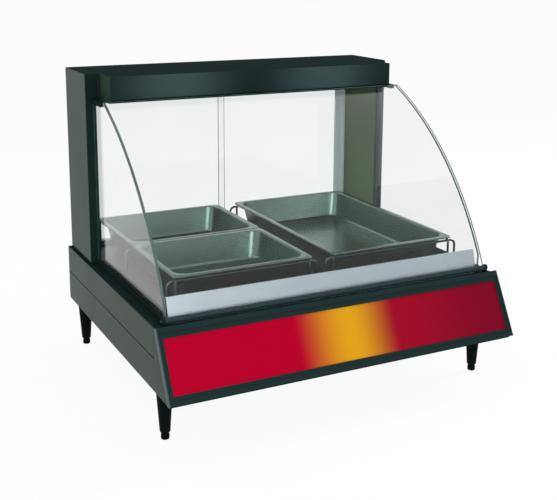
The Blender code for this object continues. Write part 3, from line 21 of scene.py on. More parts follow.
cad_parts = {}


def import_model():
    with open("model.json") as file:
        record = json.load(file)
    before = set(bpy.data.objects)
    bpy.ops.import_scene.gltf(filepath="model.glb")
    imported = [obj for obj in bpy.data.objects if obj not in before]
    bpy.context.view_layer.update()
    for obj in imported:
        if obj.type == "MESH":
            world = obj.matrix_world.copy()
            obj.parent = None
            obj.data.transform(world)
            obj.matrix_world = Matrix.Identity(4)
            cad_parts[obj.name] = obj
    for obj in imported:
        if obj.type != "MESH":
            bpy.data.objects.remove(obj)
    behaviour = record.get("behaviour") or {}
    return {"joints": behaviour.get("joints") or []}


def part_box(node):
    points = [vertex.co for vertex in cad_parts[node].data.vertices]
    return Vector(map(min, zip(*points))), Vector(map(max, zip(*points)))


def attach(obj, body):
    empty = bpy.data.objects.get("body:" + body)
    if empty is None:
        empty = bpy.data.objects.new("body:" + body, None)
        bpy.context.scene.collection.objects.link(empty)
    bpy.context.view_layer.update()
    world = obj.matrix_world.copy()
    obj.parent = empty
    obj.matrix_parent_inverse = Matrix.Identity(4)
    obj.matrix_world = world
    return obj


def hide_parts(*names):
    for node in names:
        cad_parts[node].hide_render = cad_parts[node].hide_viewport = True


log = logging.getLogger("display_case")

ROUND_STEPS = 48
BEND_STEPS = 6
MERGE_DISTANCE = 1e-6
COPLANAR = math.radians(0.5)
SHARP_EDGE = math.radians(30)
SQUARE_EDGE = math.radians(60)
LOOKS_ALONG = 0.7
LOOKS_STRAIGHT = 0.95
LOOKS_EXACTLY = 0.999

Point = tuple[float, float]
Colour = tuple[float, float, float, float]


class Slot(Enum):
    """The record's material slots."""

    BLACK_PAINT = "black_paint"
    SIDE_PAINT = "side_paint"
    SATIN_METAL = "satin_metal"
    DECK_STEEL = "deck_steel"
    PAN_STEEL = "pan_steel"
    RACK_WIRE = "rack_wire"
    CLEAR_GLASS = "clear_glass"
    SIGN_FILM = "sign_film"
    BLACK_PLASTIC = "black_plastic"
    SWITCH_RED = "switch_red"
    CERAMIC = "ceramic"
    HEATER_STEEL = "heater_steel"
    LAMP_GLASS = "lamp_glass"


class Side(Enum):
    """The two hands of the case, seen from the customer's side."""

    LEFT = -1
    RIGHT = 1

    @property
    def word(self) -> str:
        """The side's name as the pieces' names use it."""
        return self.name.lower()

    def end(self, low: float, high: float) -> float:
        """Picks the value that belongs to this side's end."""
        return high if self is Side.RIGHT else low


class Axis(Enum):
    """An axis to turn about, with the direction in which a turned profile starts."""

    X = ((1, 0, 0), (0, 1, 0))
    Y = ((0, 1, 0), (0, 0, 1))
    Z = ((0, 0, 1), (1, 0, 0))

    @property
    def along(self) -> Vector:
        """The unit vector along the axis."""
        return Vector(self.value[0])

    @property
    def across(self) -> Vector:
        """The unit vector at a right angle to it, where a profile is drawn."""
        return Vector(self.value[1])

    def point(self, node: str, distance: float = 0.0) -> Vector:
        """Finds a point on the line through a solid's middle.

        Args:
            node: The solid's node.
            distance: How far along the axis the point lies.

        Returns:
            The point.
        """
        low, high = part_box(node)
        middle = (low + high) / 2
        return middle + self.along * (distance - middle.dot(self.along))


def linear(code: str) -> Colour:
    """Turns a colour as a screen shows it into the linear values that a shader takes.

    Args:
        code: Six hexadecimal digits, red first.

    Returns:
        Linear red, green and blue, and an alpha of one.
    """
    shares = [int(code[start : start + 2], 16) / 255 for start in (0, 2, 4)]
    red, green, blue = (s / 12.92 if s <= 0.04045 else ((s + 0.055) / 1.055) ** 2.4 for s in shares)
    return red, green, blue, 1.0


class Board:
    """Adds nodes to one node tree and links them."""

    def __init__(self, tree: bpy.types.NodeTree) -> None:
        """Keeps the tree.

        Args:
            tree: The node tree of a material, a world or a shared effect.
        """
        self.tree = tree

    def add(self, kind: str, inputs: dict | None = None, **settings) -> bpy.types.Node:
        """Adds a shader node.

        Args:
            kind: The node's type without its ShaderNode prefix.
            inputs: What each input holds or is linked from, by its name or number.
            **settings: The node's own settings.

        Returns:
            The new node.
        """
        node = self.tree.nodes.new("ShaderNode" + kind)
        for name, value in settings.items():
            setattr(node, name, value)
        return self.fill(node, inputs or {})

    def fill(self, node: bpy.types.Node, inputs: dict) -> bpy.types.Node:
        """Sets or links a node's inputs.

        Args:
            node: The node.
            inputs: What each input holds or is linked from, by its name or number.

        Returns:
            The node.
        """
        for key, value in inputs.items():
            if isinstance(value, bpy.types.NodeSocket):
                self.tree.links.new(value, node.inputs[key])
            else:
                node.inputs[key].default_value = value
        return node

    def math(self, operation: str, *values: object) -> bpy.types.NodeSocket:
        """Works out a value from one or two others.

        Args:
            operation: The Math node's operation.
            *values: Numbers or sockets, in order.

        Returns:
            The result's socket.
        """
        return self.add("Math", dict(enumerate(values)), operation=operation).outputs[0]

    def blend(self, factor: object, first: object, second: object) -> bpy.types.NodeSocket:
        """Blends two colours.

        Args:
            factor: The second colour's share.
            first: The colour at zero.
            second: The colour at one.

        Returns:
            The blended colour's socket.
        """
        return self.add("Mix", {0: factor, 6: first, 7: second}, data_type="RGBA").outputs[2]

    def spread(self, value: object, low: float, high: float) -> bpy.types.NodeSocket:
        """Maps a value from zero to one onto another range.

        Args:
            value: The value to map.
            low: The result at zero.
            high: The result at one.

        Returns:
            The result's socket.
        """
        return self.add("MapRange", {"Value": value, "To Min": low, "To Max": high}).outputs[0]

    def noise(self, vector: object, scale: object, detail: float = 3.0) -> bpy.types.NodeSocket:
        """Reads a noise.

        Args:
            vector: Where it is read.
            scale: Its blotches per metre.
            detail: How many finer layers it has.

        Returns:
            The noise's value socket.
        """
        return self.add("TexNoise", {"Vector": vector, "Scale": scale, "Detail": detail}).outputs[0]

    def place(self, scale: tuple[float, float, float] = (1, 1, 1)) -> bpy.types.NodeSocket:
        """Reads the place on the object.

        Args:
            scale: How much each direction is stretched.

        Returns:
            The object coordinates' socket.
        """
        coordinates = self.add("TexCoord").outputs["Object"]
        return self.add("Mapping", {"Vector": coordinates, "Scale": scale}).outputs[0]

    def share(self, value: object, low: float, high: float) -> bpy.types.NodeSocket:
        """Works out how far a value has come from one number to another.

        Args:
            value: The value.
            low: Where the share is zero.
            high: Where the share is one.

        Returns:
            The share's socket.
        """
        return self.add("MapRange", {"Value": value, "From Min": low, "From Max": high}).outputs[0]

    def scaled(self, vector: object, factor: object) -> bpy.types.NodeSocket:
        """Multiplies a vector or a colour by one number."""
        return self.add("VectorMath", {0: vector, "Scale": factor}, operation="SCALE").outputs[0]

    def effect(self, tree: bpy.types.NodeTree, vector: object, scale: float) -> bpy.types.Node:
        """Places a shared effect.

        Args:
            tree: The effect's node group.
            vector: Where it is read.
            scale: Its blotches per metre.

        Returns:
            The group node.
        """
        node = self.tree.nodes.new("ShaderNodeGroup")
        node.node_tree = tree
        return self.fill(node, {"Vector": vector, "Scale": scale})

    def speckle(self, vector: object, scale: float) -> bpy.types.Node:
        """Places the powder coat's fleck and peel."""
        return self.effect(powder_speckle(), vector, scale)

    def smudge(self, scale: float) -> bpy.types.NodeSocket:
        """Reads the soft wipe marks."""
        return self.effect(soft_smudge(), self.place(), scale).outputs[0]

    def bump(self, height: object, strength: float, distance: float) -> bpy.types.NodeSocket:
        """Lets a height tilt the surface.

        Args:
            height: The height's socket.
            strength: The bump's strength.
            distance: How far its full height reaches.

        Returns:
            The normal's socket.
        """
        return self.add("Bump", {"Strength": strength, "Distance": distance, "Height": height}).outputs[0]

    def principled(self, inputs: dict) -> bpy.types.NodeSocket:
        """Adds the shader of a solid surface."""
        return self.add("BsdfPrincipled", inputs).outputs[0]


def shared_effect(name: str, outputs: Sequence[str], wire: Callable) -> bpy.types.NodeTree:
    """Makes a node group once; each group takes a Vector and a Scale.

    Args:
        name: The group's name.
        outputs: Its value outputs.
        wire: Takes a board, the vector and the scale, and returns the sockets for the outputs.

    Returns:
        The group.
    """
    found = bpy.data.node_groups.get(name)
    if found:
        return found
    tree = bpy.data.node_groups.new(name, "ShaderNodeTree")
    tree.interface.new_socket(name="Vector", in_out="INPUT", socket_type="NodeSocketVector")
    tree.interface.new_socket(name="Scale", in_out="INPUT", socket_type="NodeSocketFloat")
    for item in outputs:
        tree.interface.new_socket(name=item, in_out="OUTPUT", socket_type="NodeSocketFloat")
    entry = tree.nodes.new("NodeGroupInput").outputs
    leave = tree.nodes.new("NodeGroupOutput").inputs
    for item, socket in zip(outputs, wire(Board(tree), entry["Vector"], entry["Scale"])):
        tree.links.new(socket, leave[item])
    return tree


def powder_speckle() -> bpy.types.NodeTree:
    """The fine fleck and the peel of a cured powder coat."""

    def wire(board: Board, vector: object, scale: object) -> list[bpy.types.NodeSocket]:
        """Links the effect's nodes."""
        fine = board.noise(vector, board.math("MULTIPLY", scale, 4.0), 1.0)
        return [board.share(fine, 0.55, 0.75), board.noise(vector, scale, 2.0)]

    return shared_effect("powder_speckle", ["Fleck", "Peel"], wire)


def soft_smudge() -> bpy.types.NodeTree:
    """Broad soft marks that hands and cloths leave on a wiped surface."""

    def wire(board: Board, vector: object, scale: object) -> list[bpy.types.NodeSocket]:
        """Links the effect's nodes."""
        warp = board.add("TexNoise", {"Vector": vector, "Scale": scale, "Detail": 2.0}).outputs[1]
        bent = board.add("VectorMath", {0: vector, 1: board.scaled(warp, 0.04)}, operation="ADD").outputs[0]
        return [board.share(board.noise(bent, scale, 4.0), 0.35, 0.68)]

    return shared_effect("soft_smudge", ["Smudge"], wire)


def drawn_grain() -> bpy.types.NodeTree:
    """Fine parallel lines of a rolled, drawn or brushed metal; its Vector comes in stretched."""

    def wire(board: Board, vector: object, scale: object) -> list[bpy.types.NodeSocket]:
        """Links the effect's nodes."""
        coarse = board.noise(vector, scale, 2.0)
        fine = board.noise(vector, board.math("MULTIPLY", scale, 3.0), 2.0)
        both = board.math("ADD", board.math("MULTIPLY", coarse, 0.6), board.math("MULTIPLY", fine, 0.4))
        return [board.share(both, 0.3, 0.7)]

    return shared_effect("drawn_grain", ["Streak"], wire)


@dataclass(frozen=True)
class Finish:
    """What every finish shares: a name, a colour and a roughness."""

    name: str
    colour: str
    roughness: float

    def material(self) -> bpy.types.Material:
        """Returns the finish's material, made once."""
        found = bpy.data.materials.get(self.name)
        if found:
            return found
        made = bpy.data.materials.new(self.name)
        made.use_nodes = True
        made.node_tree.nodes.clear()
        board = Board(made.node_tree)
        board.add("OutputMaterial", {"Surface": self.surface(board)})
        return made

    def surface(self, board: Board) -> bpy.types.NodeSocket:
        """Builds the finish's shader.

        Args:
            board: The material's board.

        Returns:
            The shader's socket.
        """
        raise NotImplementedError

    def tones(self, board: Board, mask: object, darker: float, lighter: float) -> bpy.types.NodeSocket:
        """Varies the finish's colour between a darker and a lighter tone.

        Args:
            board: The material's board.
            mask: Where the lighter tone shows.
            darker: The darker tone's share of the colour.
            lighter: The lighter tone's share of it.

        Returns:
            The colour's socket.
        """
        red, green, blue, _ = linear(self.colour)
        low = (red * darker, green * darker, blue * darker, 1.0)
        high = (red * lighter, green * lighter, blue * lighter, 1.0)
        return board.blend(mask, low, high)


@dataclass(frozen=True)
class PowderCoat(Finish):
    """A cured powder coat: fine flecks, a slight peel and a sheen that soft wipe marks vary."""

    sheen: float = 0.08
    peel: float = 0.12
    # how much lighter the painted highlight bands make the colour; zero leaves them out
    painted_highlights: float = 0.0
    wave_scale: float = 0.806
    highlight_band_phase: float = 0.24

    def colour_of(self, board: Board, fleck: bpy.types.NodeSocket) -> bpy.types.NodeSocket:
        """Mixes the coat's colour, with broad lighter bands painted in where soft lights would show as
        highlights.

        Args:
            board: The material's board.
            fleck: Where the fine flecks are.

        Returns:
            The colour's socket.
        """
        coat = self.tones(board, fleck, 0.94, 1.25)
        if not self.painted_highlights:
            return coat
        # painted highlight: broad bands along X that lighten the colour
        highlight_band = {"Vector": board.place(), "Scale": self.wave_scale, "Phase Offset": self.highlight_band_phase}
        wave = board.add("TexWave", highlight_band).outputs[0]
        return board.scaled(coat, board.spread(wave, 1.0, 1.0 + self.painted_highlights))

    def surface(self, board: Board) -> bpy.types.NodeSocket:
        """Builds the coat's shader, with all of its gloss in the clear top layer."""
        speckle = board.speckle(board.place(), 520.0).outputs
        inputs = {
            "Base Color": self.colour_of(board, speckle["Fleck"]),
            "Roughness": 0.6,
            "Specular IOR Level": 0.0,
            "Normal": board.bump(speckle["Peel"], self.peel, 0.0002),
            "Coat Weight": board.spread(board.smudge(7.0), self.sheen * 1.06, self.sheen * 0.94),
            "Coat Roughness": self.roughness,
        }
        return board.principled(inputs)


@dataclass(frozen=True)
class Metal(Finish):
    """Bare, plated or anodised metal with its rolling grain along one direction."""

    stretch: tuple[float, float, float] = (0.04, 1.0, 1.0)
    density: float = 900.0
    contrast: float = 0.06
    grain: float = 0.08
    streaks: float = 0.05
    bareness: float = 1.0

    def surface(self, board: Board) -> bpy.types.NodeSocket:
        """Builds the metal's shader."""
        streak = board.effect(drawn_grain(), board.place(self.stretch), self.density).outputs[0]
        wiped = board.spread(board.smudge(9.0), 0.0, self.streaks)
        rough = board.math("ADD", board.spread(streak, 0.0, self.streaks), wiped)
        inputs = {
            "Base Color": self.tones(board, streak, 1.0 - self.contrast, 1.0 + self.contrast),
            "Metallic": self.bareness,
            "Roughness": board.math("ADD", rough, self.roughness - 0.05),
            "Normal": board.bump(streak, self.grain, 0.0001),
        }
        return board.principled(inputs)


@dataclass(frozen=True)
class Moulded(Finish):
    """Moulded or fired stuff with a fine even texture, such as plastic, ceramic or wool board."""

    texture: float = 900.0
    depth: float = 0.15
    specular: float = 0.4
    mottle: float = 0.10

    def surface(self, board: Board) -> bpy.types.NodeSocket:
        """Builds the shader."""
        peel = board.speckle(board.place(), self.texture).outputs["Peel"]
        smudge = board.smudge(30.0)
        inputs = {
            "Base Color": self.tones(board, smudge, 1.0 - self.mottle, 1.0 + self.mottle),
            "Roughness": board.spread(smudge, self.roughness - 0.04, self.roughness + 0.04),
            "Specular IOR Level": self.specular,
            "Normal": board.bump(peel, self.depth, 0.0003),
        }
        return board.principled(inputs)


@dataclass(frozen=True)
class ClearGlass(Finish):
    """Clear toughened glass that lets lamps through, with faint wipe marks."""

    index: float = 1.3
    shade: Colour = (0.95, 0.97, 0.96, 1.0)

    def surface(self, board: Board) -> bpy.types.NodeSocket:
        """Builds the glass shader."""
        inputs = {
            "Base Color": self.tones(board, board.smudge(6.0), 0.985, 1.0),
            "Roughness": self.roughness,
            "IOR": self.index,
            "Transmission Weight": 1.0,
        }
        glass = board.principled(inputs)
        clear = board.add("BsdfTransparent", {"Color": self.shade}).outputs[0]
        shadow = board.add("LightPath").outputs["Is Shadow Ray"]
        return board.add("MixShader", {0: shadow, 1: glass, 2: clear}).outputs[0]


@dataclass(frozen=True)
class GlassEdge(Finish):
    """The ground edge of a pane, where its green tint gathers."""

    def surface(self, board: Board) -> bpy.types.NodeSocket:
        """Builds the edge's shader."""
        smudge = board.smudge(40.0)
        peel = board.speckle(board.place(), 1500.0).outputs["Peel"]
        inputs = {
            "Base Color": self.tones(board, smudge, 0.8, 1.2),
            "Roughness": board.spread(smudge, self.roughness, self.roughness + 0.1),
            "Normal": board.bump(peel, 0.1, 0.0002),
        }
        return board.principled(inputs)


@dataclass(frozen=True)
class SignFilm(Finish):
    """A printed film that fades from red over amber to red along the case, under a clear cover; its reds
    darken towards the right end as painted shade of the light falling off.
    """

    half_width: float = 0.4137
    amber: str = "dd9f1a"
    # the right-hand reds are darker than the left red: painted shade where the light falls off
    deep_red: str = "9c0c28"
    shaded_far_red: str = "7e0a25"
    fade: tuple[float, float, float, float] = (0.35, 0.51, 0.65, 0.95)

    def surface(self, board: Board) -> bpy.types.NodeSocket:
        """Builds the film's shader."""
        place = board.place()
        x = board.add("SeparateXYZ", {"Vector": place}).outputs[0]
        ramp = board.add("ValToRGB", {"Fac": board.share(x, -self.half_width, self.half_width)})
        ramp.color_ramp.interpolation = "EASE"
        stops = ramp.color_ramp.elements
        shades = (self.colour, self.amber, self.deep_red, self.shaded_far_red)
        for index, (position, shade) in enumerate(zip(self.fade, shades)):
            stop = stops[index] if index < 2 else stops.new(position)
            stop.position = position
            stop.color = linear(shade)
        grain = board.spread(board.speckle(place, 900.0).outputs["Fleck"], 0.97, 1.0)
        inputs = {
            "Base Color": board.scaled(ramp.outputs[0], grain),
            "Roughness": board.spread(board.smudge(8.0), self.roughness, self.roughness + 0.08),
            "Specular IOR Level": 0.02,
        }
        return board.principled(inputs)


@dataclass(frozen=True)
class LampGlass(Finish):
    """The coated bulb of a lamp, milky where its coating is thick."""

    def surface(self, board: Board) -> bpy.types.NodeSocket:
        """Builds the bulb's shader."""
        smudge = board.smudge(60.0)
        inputs = {
            "Base Color": self.tones(board, smudge, 0.93, 1.0),
            "Roughness": board.spread(smudge, self.roughness, self.roughness + 0.1),
            "Transmission Weight": 0.35,
        }
        return board.principled(inputs)


@dataclass(frozen=True)
class StudioFloor(Finish):
    """A pale floor, white to the camera, metal and glass, that keeps the case's soft shadow."""

    glow: float = 0.94

    def surface(self, board: Board) -> bpy.types.NodeSocket:
        """Builds the floor's shader."""
        mottle = board.noise(board.place(), 3.0)
        white = board.add("Emission", {"Strength": 1.0}).outputs[0]
        path = board.add("LightPath").outputs
        plain = board.add("BsdfDiffuse", {"Color": self.tones(board, mottle, 0.98, 1.0)}).outputs[0]
        seen = board.math("MAXIMUM", path["Is Camera Ray"], path["Is Transmission Ray"])
        seen = board.math("MAXIMUM", seen, path["Is Glossy Ray"])
        share = board.math("MULTIPLY", seen, self.glow)
        return board.add("MixShader", {0: share, 1: plain, 2: white}).outputs[0]


BLACK_COAT = PowderCoat("black_powder_coat", "192727", 0.34, sheen=0.02)
# canopy ends: a lighter, greener copy of the black coat, painted light on the side faces
LIT_END_COAT = PowderCoat("end_coat_painted_light", "33473c", 0.30, sheen=0.10)
# pivot rail: a lighter, bluer copy of the black coat, painted highlight along the round rail
LIT_RAIL_COAT = PowderCoat("rail_coat_painted_highlight", "2d3e42", 0.28, sheen=0.10)
# side faces: a lighter, greener copy of the black coat, painted light where the sides catch the lamps
LIT_SIDE_COAT = PowderCoat("side_coat_painted_light", "253a30", 0.16, sheen=0.35)
# sign surround: a lighter copy of the black coat, painted light bounced up from below
LIT_SIGN_COAT = PowderCoat("sign_coat_painted_light", "1f3030", 0.34, sheen=0.05)
# posts' inner faces: a light olive copy of the black coat, painted light from inside the case
LIT_INNER_COAT = PowderCoat("inner_coat_painted_light", "52664a", 0.34, sheen=0.05)
# rolled-under canopy front: a darker copy of the black coat, painted shade under the roll
SHADED_ROLL_COAT = PowderCoat("roll_coat_painted_shade", "0e1716", 0.40, sheen=0.02)
# canopy front: a slightly lighter copy of the black coat with broad painted highlight bands
CANOPY_HIGHLIGHT_COAT = PowderCoat("canopy_coat_painted_highlights", "1d2929", 0.34, sheen=0.035, painted_highlights=2.6)
CAP_ALUMINIUM = Metal("dark_anodised_cap", "3a474a", 0.35)
SATIN_ALUMINIUM = Metal("satin_aluminium", "a9b4ba", 0.34)
MIRROR_ALUMINIUM = Metal("polished_reflector", "e4e6e6", 0.14, contrast=0.03)
DOOR_ALUMINIUM = Metal("anodised_pull", "c4d0d4", 0.36, stretch=(1.0, 1.0, 0.04), bareness=0.4)
# dark green-grey steel: painted reflection of the dark green surroundings that the pans mirror
PAN_STEEL = Metal(
    "drawn_pan_steel", "5c7268", 0.28, (1.0, 0.06, 1.0), density=120.0, contrast=0.01, grain=0.0, streaks=0.01
)
# dark grey-green wire: painted reflection of the dark surroundings that the wire mirrors
WIRE_STEEL = Metal(
    "plated_wire", "4c5956", 0.22, (1.0, 1.0, 1.0), density=300.0, contrast=0.01, grain=0.0, streaks=0.01
)
DECK_COAT = Metal("hard_coated_deck", "44504b", 0.42, density=420.0)
HEATER_STEEL = Metal("heat_tinted_sheath", "6a5f57", 0.38, density=300.0, contrast=0.15)
BLACK_PLASTIC = Moulded("moulded_black", "080f0f", 0.50, specular=0.03)
RED_PLASTIC = Moulded("rocker_red", "a01616", 0.28, texture=1500.0, depth=0.05)
PRINTED_WHITE = Moulded("printed_white", "d8dad8", 0.5, texture=1500.0, depth=0.05)
CERAMIC = Moulded("unglazed_ceramic", "dddacf", 0.62, texture=1100.0)
MINERAL_WOOL = Moulded("mineral_wool_board", "b4a888", 0.92, texture=500.0, depth=0.6, mottle=0.2)
CLEAR_GLASS = ClearGlass("clear_glass_pane", "fafbfb", 0.0)
GLASS_EDGE = GlassEdge("ground_glass_edge", "2e4d48", 0.18)
SIGN_FILM = SignFilm("faded_sign_film", "b2022a", 0.24)
LAMP_GLASS = LampGlass("coated_lamp_glass", "f4f0e2", 0.22)
STUDIO_FLOOR = StudioFloor("pale_floor", "f4f4f2", 0.9)


def arc(centre: Point, radius: float, start: float, end: float, steps: int) -> list[Point]:
    """Returns points along an arc.

    Args:
        centre: The arc's centre.
        radius: Its radius.
        start: The angle in degrees of its first point.
        end: The angle in degrees of its last point.
        steps: How many pieces it is divided into.

    Returns:
        The points, both ends included.
    """
    angles = [math.radians(start + (end - start) * step / steps) for step in range(steps + 1)]
    return [(centre[0] + radius * math.cos(a), centre[1] + radius * math.sin(a)) for a in angles]


def heights(edge: BMEdge) -> list[float]:
    """Returns the heights of an edge's lower and upper end."""
    return sorted(vert.co.z for vert in edge.verts)


@dataclass
class Shape:
    """A mesh in the making, with the few operations that the pieces of this case need."""

    bm: BMesh = field(default_factory=bmesh.new)

    @classmethod
    def block(cls, low: Vector, high: Vector) -> "Shape":
        """Makes a block.

        Args:
            low: Its lowest corner.
            high: Its highest corner.

        Returns:
            The shape.
        """
        shape = cls()
        low, high = Vector(low), Vector(high)
        matrix = Matrix.Translation((low + high) / 2) @ Matrix.Diagonal((*(high - low), 1.0))
        bmesh.ops.create_cube(shape.bm, size=1.0, matrix=matrix)
        return shape

    @classmethod
    def extruded(cls, outline: Iterable[Sequence[float]], sweep: Sequence[float]) -> "Shape":
        """Extrudes a flat outline.

        Args:
            outline: The outline's corners in space.
            sweep: How far and where it is extruded.

        Returns:
            The closed shape.
        """
        shape = cls()
        face = shape.bm.faces.new([shape.bm.verts.new(corner) for corner in outline])
        return shape.extrude(face, sweep).outward()

    @classmethod
    def turned(
        cls, profile: Iterable[Point], centre: Vector, axis: Axis, steps: int = ROUND_STEPS
    ) -> "Shape":
        """Spins a profile about an axis.

        Args:
            profile: Points as (distance along the axis, radius); its ends are closed to the axis.
            centre: A point on the axis from which the distances count.
            axis: The axis.
            steps: How many sides the shape has.

        Returns:
            The closed shape.
        """
        shape = cls()
        points = list(profile)
        points = [(points[0][0], 0.0), *points, (points[-1][0], 0.0)]
        place = [Vector(centre) + axis.along * far + axis.across * out for far, out in points]
        verts = [shape.bm.verts.new(point) for point in place]
        edges = [shape.bm.edges.new(pair) for pair in zip(verts, verts[1:])]
        shape.swing(verts + edges, centre, axis.along, math.tau, steps, merge=True)
        bmesh.ops.remove_doubles(shape.bm, verts=shape.bm.verts, dist=MERGE_DISTANCE)
        return shape.outward()

    @classmethod
    def wire(cls, points: Sequence[Sequence[float]], radius: float, bend: float, sides: int = 12) -> "Shape":
        """Runs a round wire through corners that it takes in round bends.

        Args:
            points: The wire's ends and corners.
            radius: The wire's radius.
            bend: The radius of its middle line in each bend.
            sides: How many sides the wire has.

        Returns:
            The closed shape.
        """
        shape = cls()
        corners = [Vector(point) for point in points]
        heading = (corners[1] - corners[0]).normalized()
        turn = heading.to_track_quat("Z", "Y").to_matrix().to_4x4()
        matrix = Matrix.Translation(corners[0]) @ turn
        made = bmesh.ops.create_circle(shape.bm, segments=sides, radius=radius, matrix=matrix)
        ring = list({edge for vert in made["verts"] for edge in vert.link_edges})
        start, here = ring, corners[0]
        for corner, beyond in zip(corners[1:], corners[2:]):
            ahead = (beyond - corner).normalized()
            angle = heading.angle(ahead)
            reach = bend * math.tan(angle / 2)
            stop = corner - heading * reach
            ring = shape.push(ring, stop - here)
            axis = heading.cross(ahead).normalized()
            swung = shape.swing(ring, stop + axis.cross(heading) * bend, axis, angle, BEND_STEPS)
            ring = [item for item in swung if isinstance(item, BMEdge)]
            here, heading = corner + ahead * reach, ahead
        ring = shape.push(ring, corners[-1] - here)
        for loop in (start, ring):
            bmesh.ops.edgeloop_fill(shape.bm, edges=loop)
        return shape.outward()

    @classmethod
    def copy_of(cls, node: str) -> "Shape":
        """Copies a solid of the frame and joins its loose triangles into whole faces.

        Args:
            node: The solid's node.

        Returns:
            The copy.
        """
        shape = cls()
        shape.bm.from_mesh(bpy.data.objects[node].data)
        bmesh.ops.remove_doubles(shape.bm, verts=shape.bm.verts, dist=MERGE_DISTANCE)
        bmesh.ops.dissolve_limit(shape.bm, angle_limit=COPLANAR, verts=shape.bm.verts, edges=shape.bm.edges)
        return shape

    def extrude(self, face: BMFace, sweep: Sequence[float]) -> "Shape":
        """Extrudes a face in a straight line.

        Args:
            face: The face.
            sweep: How far and where it moves.

        Returns:
            The shape itself.
        """
        grown = bmesh.ops.extrude_face_region(self.bm, geom=[face])["geom"]
        moved = [item for item in grown if isinstance(item, BMVert)]
        bmesh.ops.translate(self.bm, verts=moved, vec=Vector(sweep))
        return self

    def swing(
        self,
        geom: list,
        centre: Sequence[float],
        axis: Sequence[float],
        angle: float,
        steps: int,
        merge: bool = False,
    ) -> list:
        """Spins some of the shape about an axis.

        Args:
            geom: What is spun.
            centre: A point on the axis.
            axis: The axis's direction.
            angle: How far it is spun.
            steps: How many pieces the way is divided into.
            merge: Whether a full turn closes on itself.

        Returns:
            What the spin ends with.
        """
        swung = bmesh.ops.spin(
            self.bm,
            geom=geom,
            cent=centre,
            axis=axis,
            dvec=(0, 0, 0),
            angle=angle,
            steps=steps,
            use_merge=merge,
            use_duplicate=False,
        )
        return swung["geom_last"]

    def bevel(self, geom: list, width: float, segments: int, affect: str = "EDGES") -> "Shape":
        """Bevels edges or corners.

        Args:
            geom: The edges or corners.
            width: The bevel's width.
            segments: How many pieces round it.
            affect: Which of the two are bevelled, EDGES or VERTICES.

        Returns:
            The shape itself.
        """
        bmesh.ops.bevel(
            self.bm,
            geom=geom,
            offset=width,
            offset_type="OFFSET",
            segments=segments,
            profile=0.5,
            affect=affect,
            clamp_overlap=True,
            material=-1,
        )
        return self

    def push(self, ring: list[BMEdge], step: Vector) -> list[BMEdge]:
        """Extrudes a ring of edges in a straight line.

        Args:
            ring: The edges.
            step: How far they move.

        Returns:
            The new ring.
        """
        grown = bmesh.ops.extrude_edge_only(self.bm, edges=ring)["geom"]
        moved = [item for item in grown if isinstance(item, BMVert)]
        bmesh.ops.translate(self.bm, verts=moved, vec=step)
        return [item for item in grown if isinstance(item, BMEdge)]

    def outward(self) -> "Shape":
        """Turns all faces outwards."""
        bmesh.ops.recalc_face_normals(self.bm, faces=self.bm.faces)
        return self

    def soften(
        self,
        width: float,
        segments: int = 2,
        angle: float = SHARP_EDGE,
        where: Callable[[BMEdge], bool] | None = None,
    ) -> "Shape":
        """Rounds edges.

        Args:
            width: The bevel's width.
            segments: How many faces round each edge.
            angle: Only edges that turn by more are rounded.
            where: Picks among those edges.

        Returns:
            The shape itself.
        """
        edges = [edge for edge in self.bm.edges if edge.is_manifold and edge.calc_face_angle(0.0) > angle]
        return self.bevel([edge for edge in edges if where is None or where(edge)], width, segments)

    def add(self, other: "Shape") -> "Shape":
        """Takes in another shape, which stays a closed body of its own.

        Args:
            other: The shape to take in; it is used up.

        Returns:
            The shape itself.
        """
        loose = bpy.data.meshes.new("loose")
        other.bm.to_mesh(loose)
        other.bm.free()
        self.bm.from_mesh(loose)
        bpy.data.meshes.remove(loose)
        return self

    def face_towards(self, direction: Sequence[float]) -> BMFace:
        """Finds the largest face that looks in a direction.

        Args:
            direction: The direction.

        Returns:
            The face.
        """
        towards = Vector(direction)
        facing = [face for face in self.bm.faces if face.normal.dot(towards) > math.cos(SHARP_EDGE)]
        return max(facing, key=lambda face: face.calc_area())

    def faces_along(self, direction: Sequence[float], number: int, one_way: bool = False) -> "Shape":
        """Gives the faces that look along a direction another material number.

        Args:
            direction: The direction.
            number: The material number.
            one_way: Whether faces that look the opposite way keep theirs.

        Returns:
            The shape itself.
        """
        towards = Vector(direction)
        for face in self.bm.faces:
            share = face.normal.dot(towards)
            if share > LOOKS_ALONG or (not one_way and share < -LOOKS_ALONG):
                face.material_index = number
        return self

    def publish(
        self,
        name: str,
        slot: Slot,
        *finishes: Finish,
        body: str = "case",
        stands_for: Sequence[str] = (),
        crease: float = SHARP_EDGE,
        even: bool = True,
    ) -> bpy.types.Object:
        """Turns the shape into a finished piece.

        Args:
            name: The piece's name.
            slot: The material slot that it takes its finish from.
            *finishes: Its finishes, in the order of the faces' material numbers.
            body: The body that it rides on.
            stands_for: The solids that it stands for.
            crease: Edges that turn by more stay sharp.
            even: Whether flat faces keep even shading beside rounded edges.

        Returns:
            The piece.
        """
        mesh = bpy.data.meshes.new(name)
        self.bm.to_mesh(mesh)
        self.bm.free()
        for finish in finishes:
            mesh.materials.append(finish.material())
        mesh.shade_smooth()
        mesh.set_sharp_from_angle(angle=crease)
        piece = bpy.data.objects.new(name, mesh)
        bpy.context.scene.collection.objects.link(piece)
        if even:
            even_normals(piece)
        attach(piece, body)
        if stands_for:
            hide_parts(*stands_for)
        log.info("%s rides on %s: %d faces", name, body, len(mesh.polygons))
        return piece


def even_normals(piece: bpy.types.Object) -> None:
    """Keeps flat faces evenly shaded beside rounded edges."""
    piece.modifiers.new("even_normals", "WEIGHTED_NORMAL").keep_sharp = True


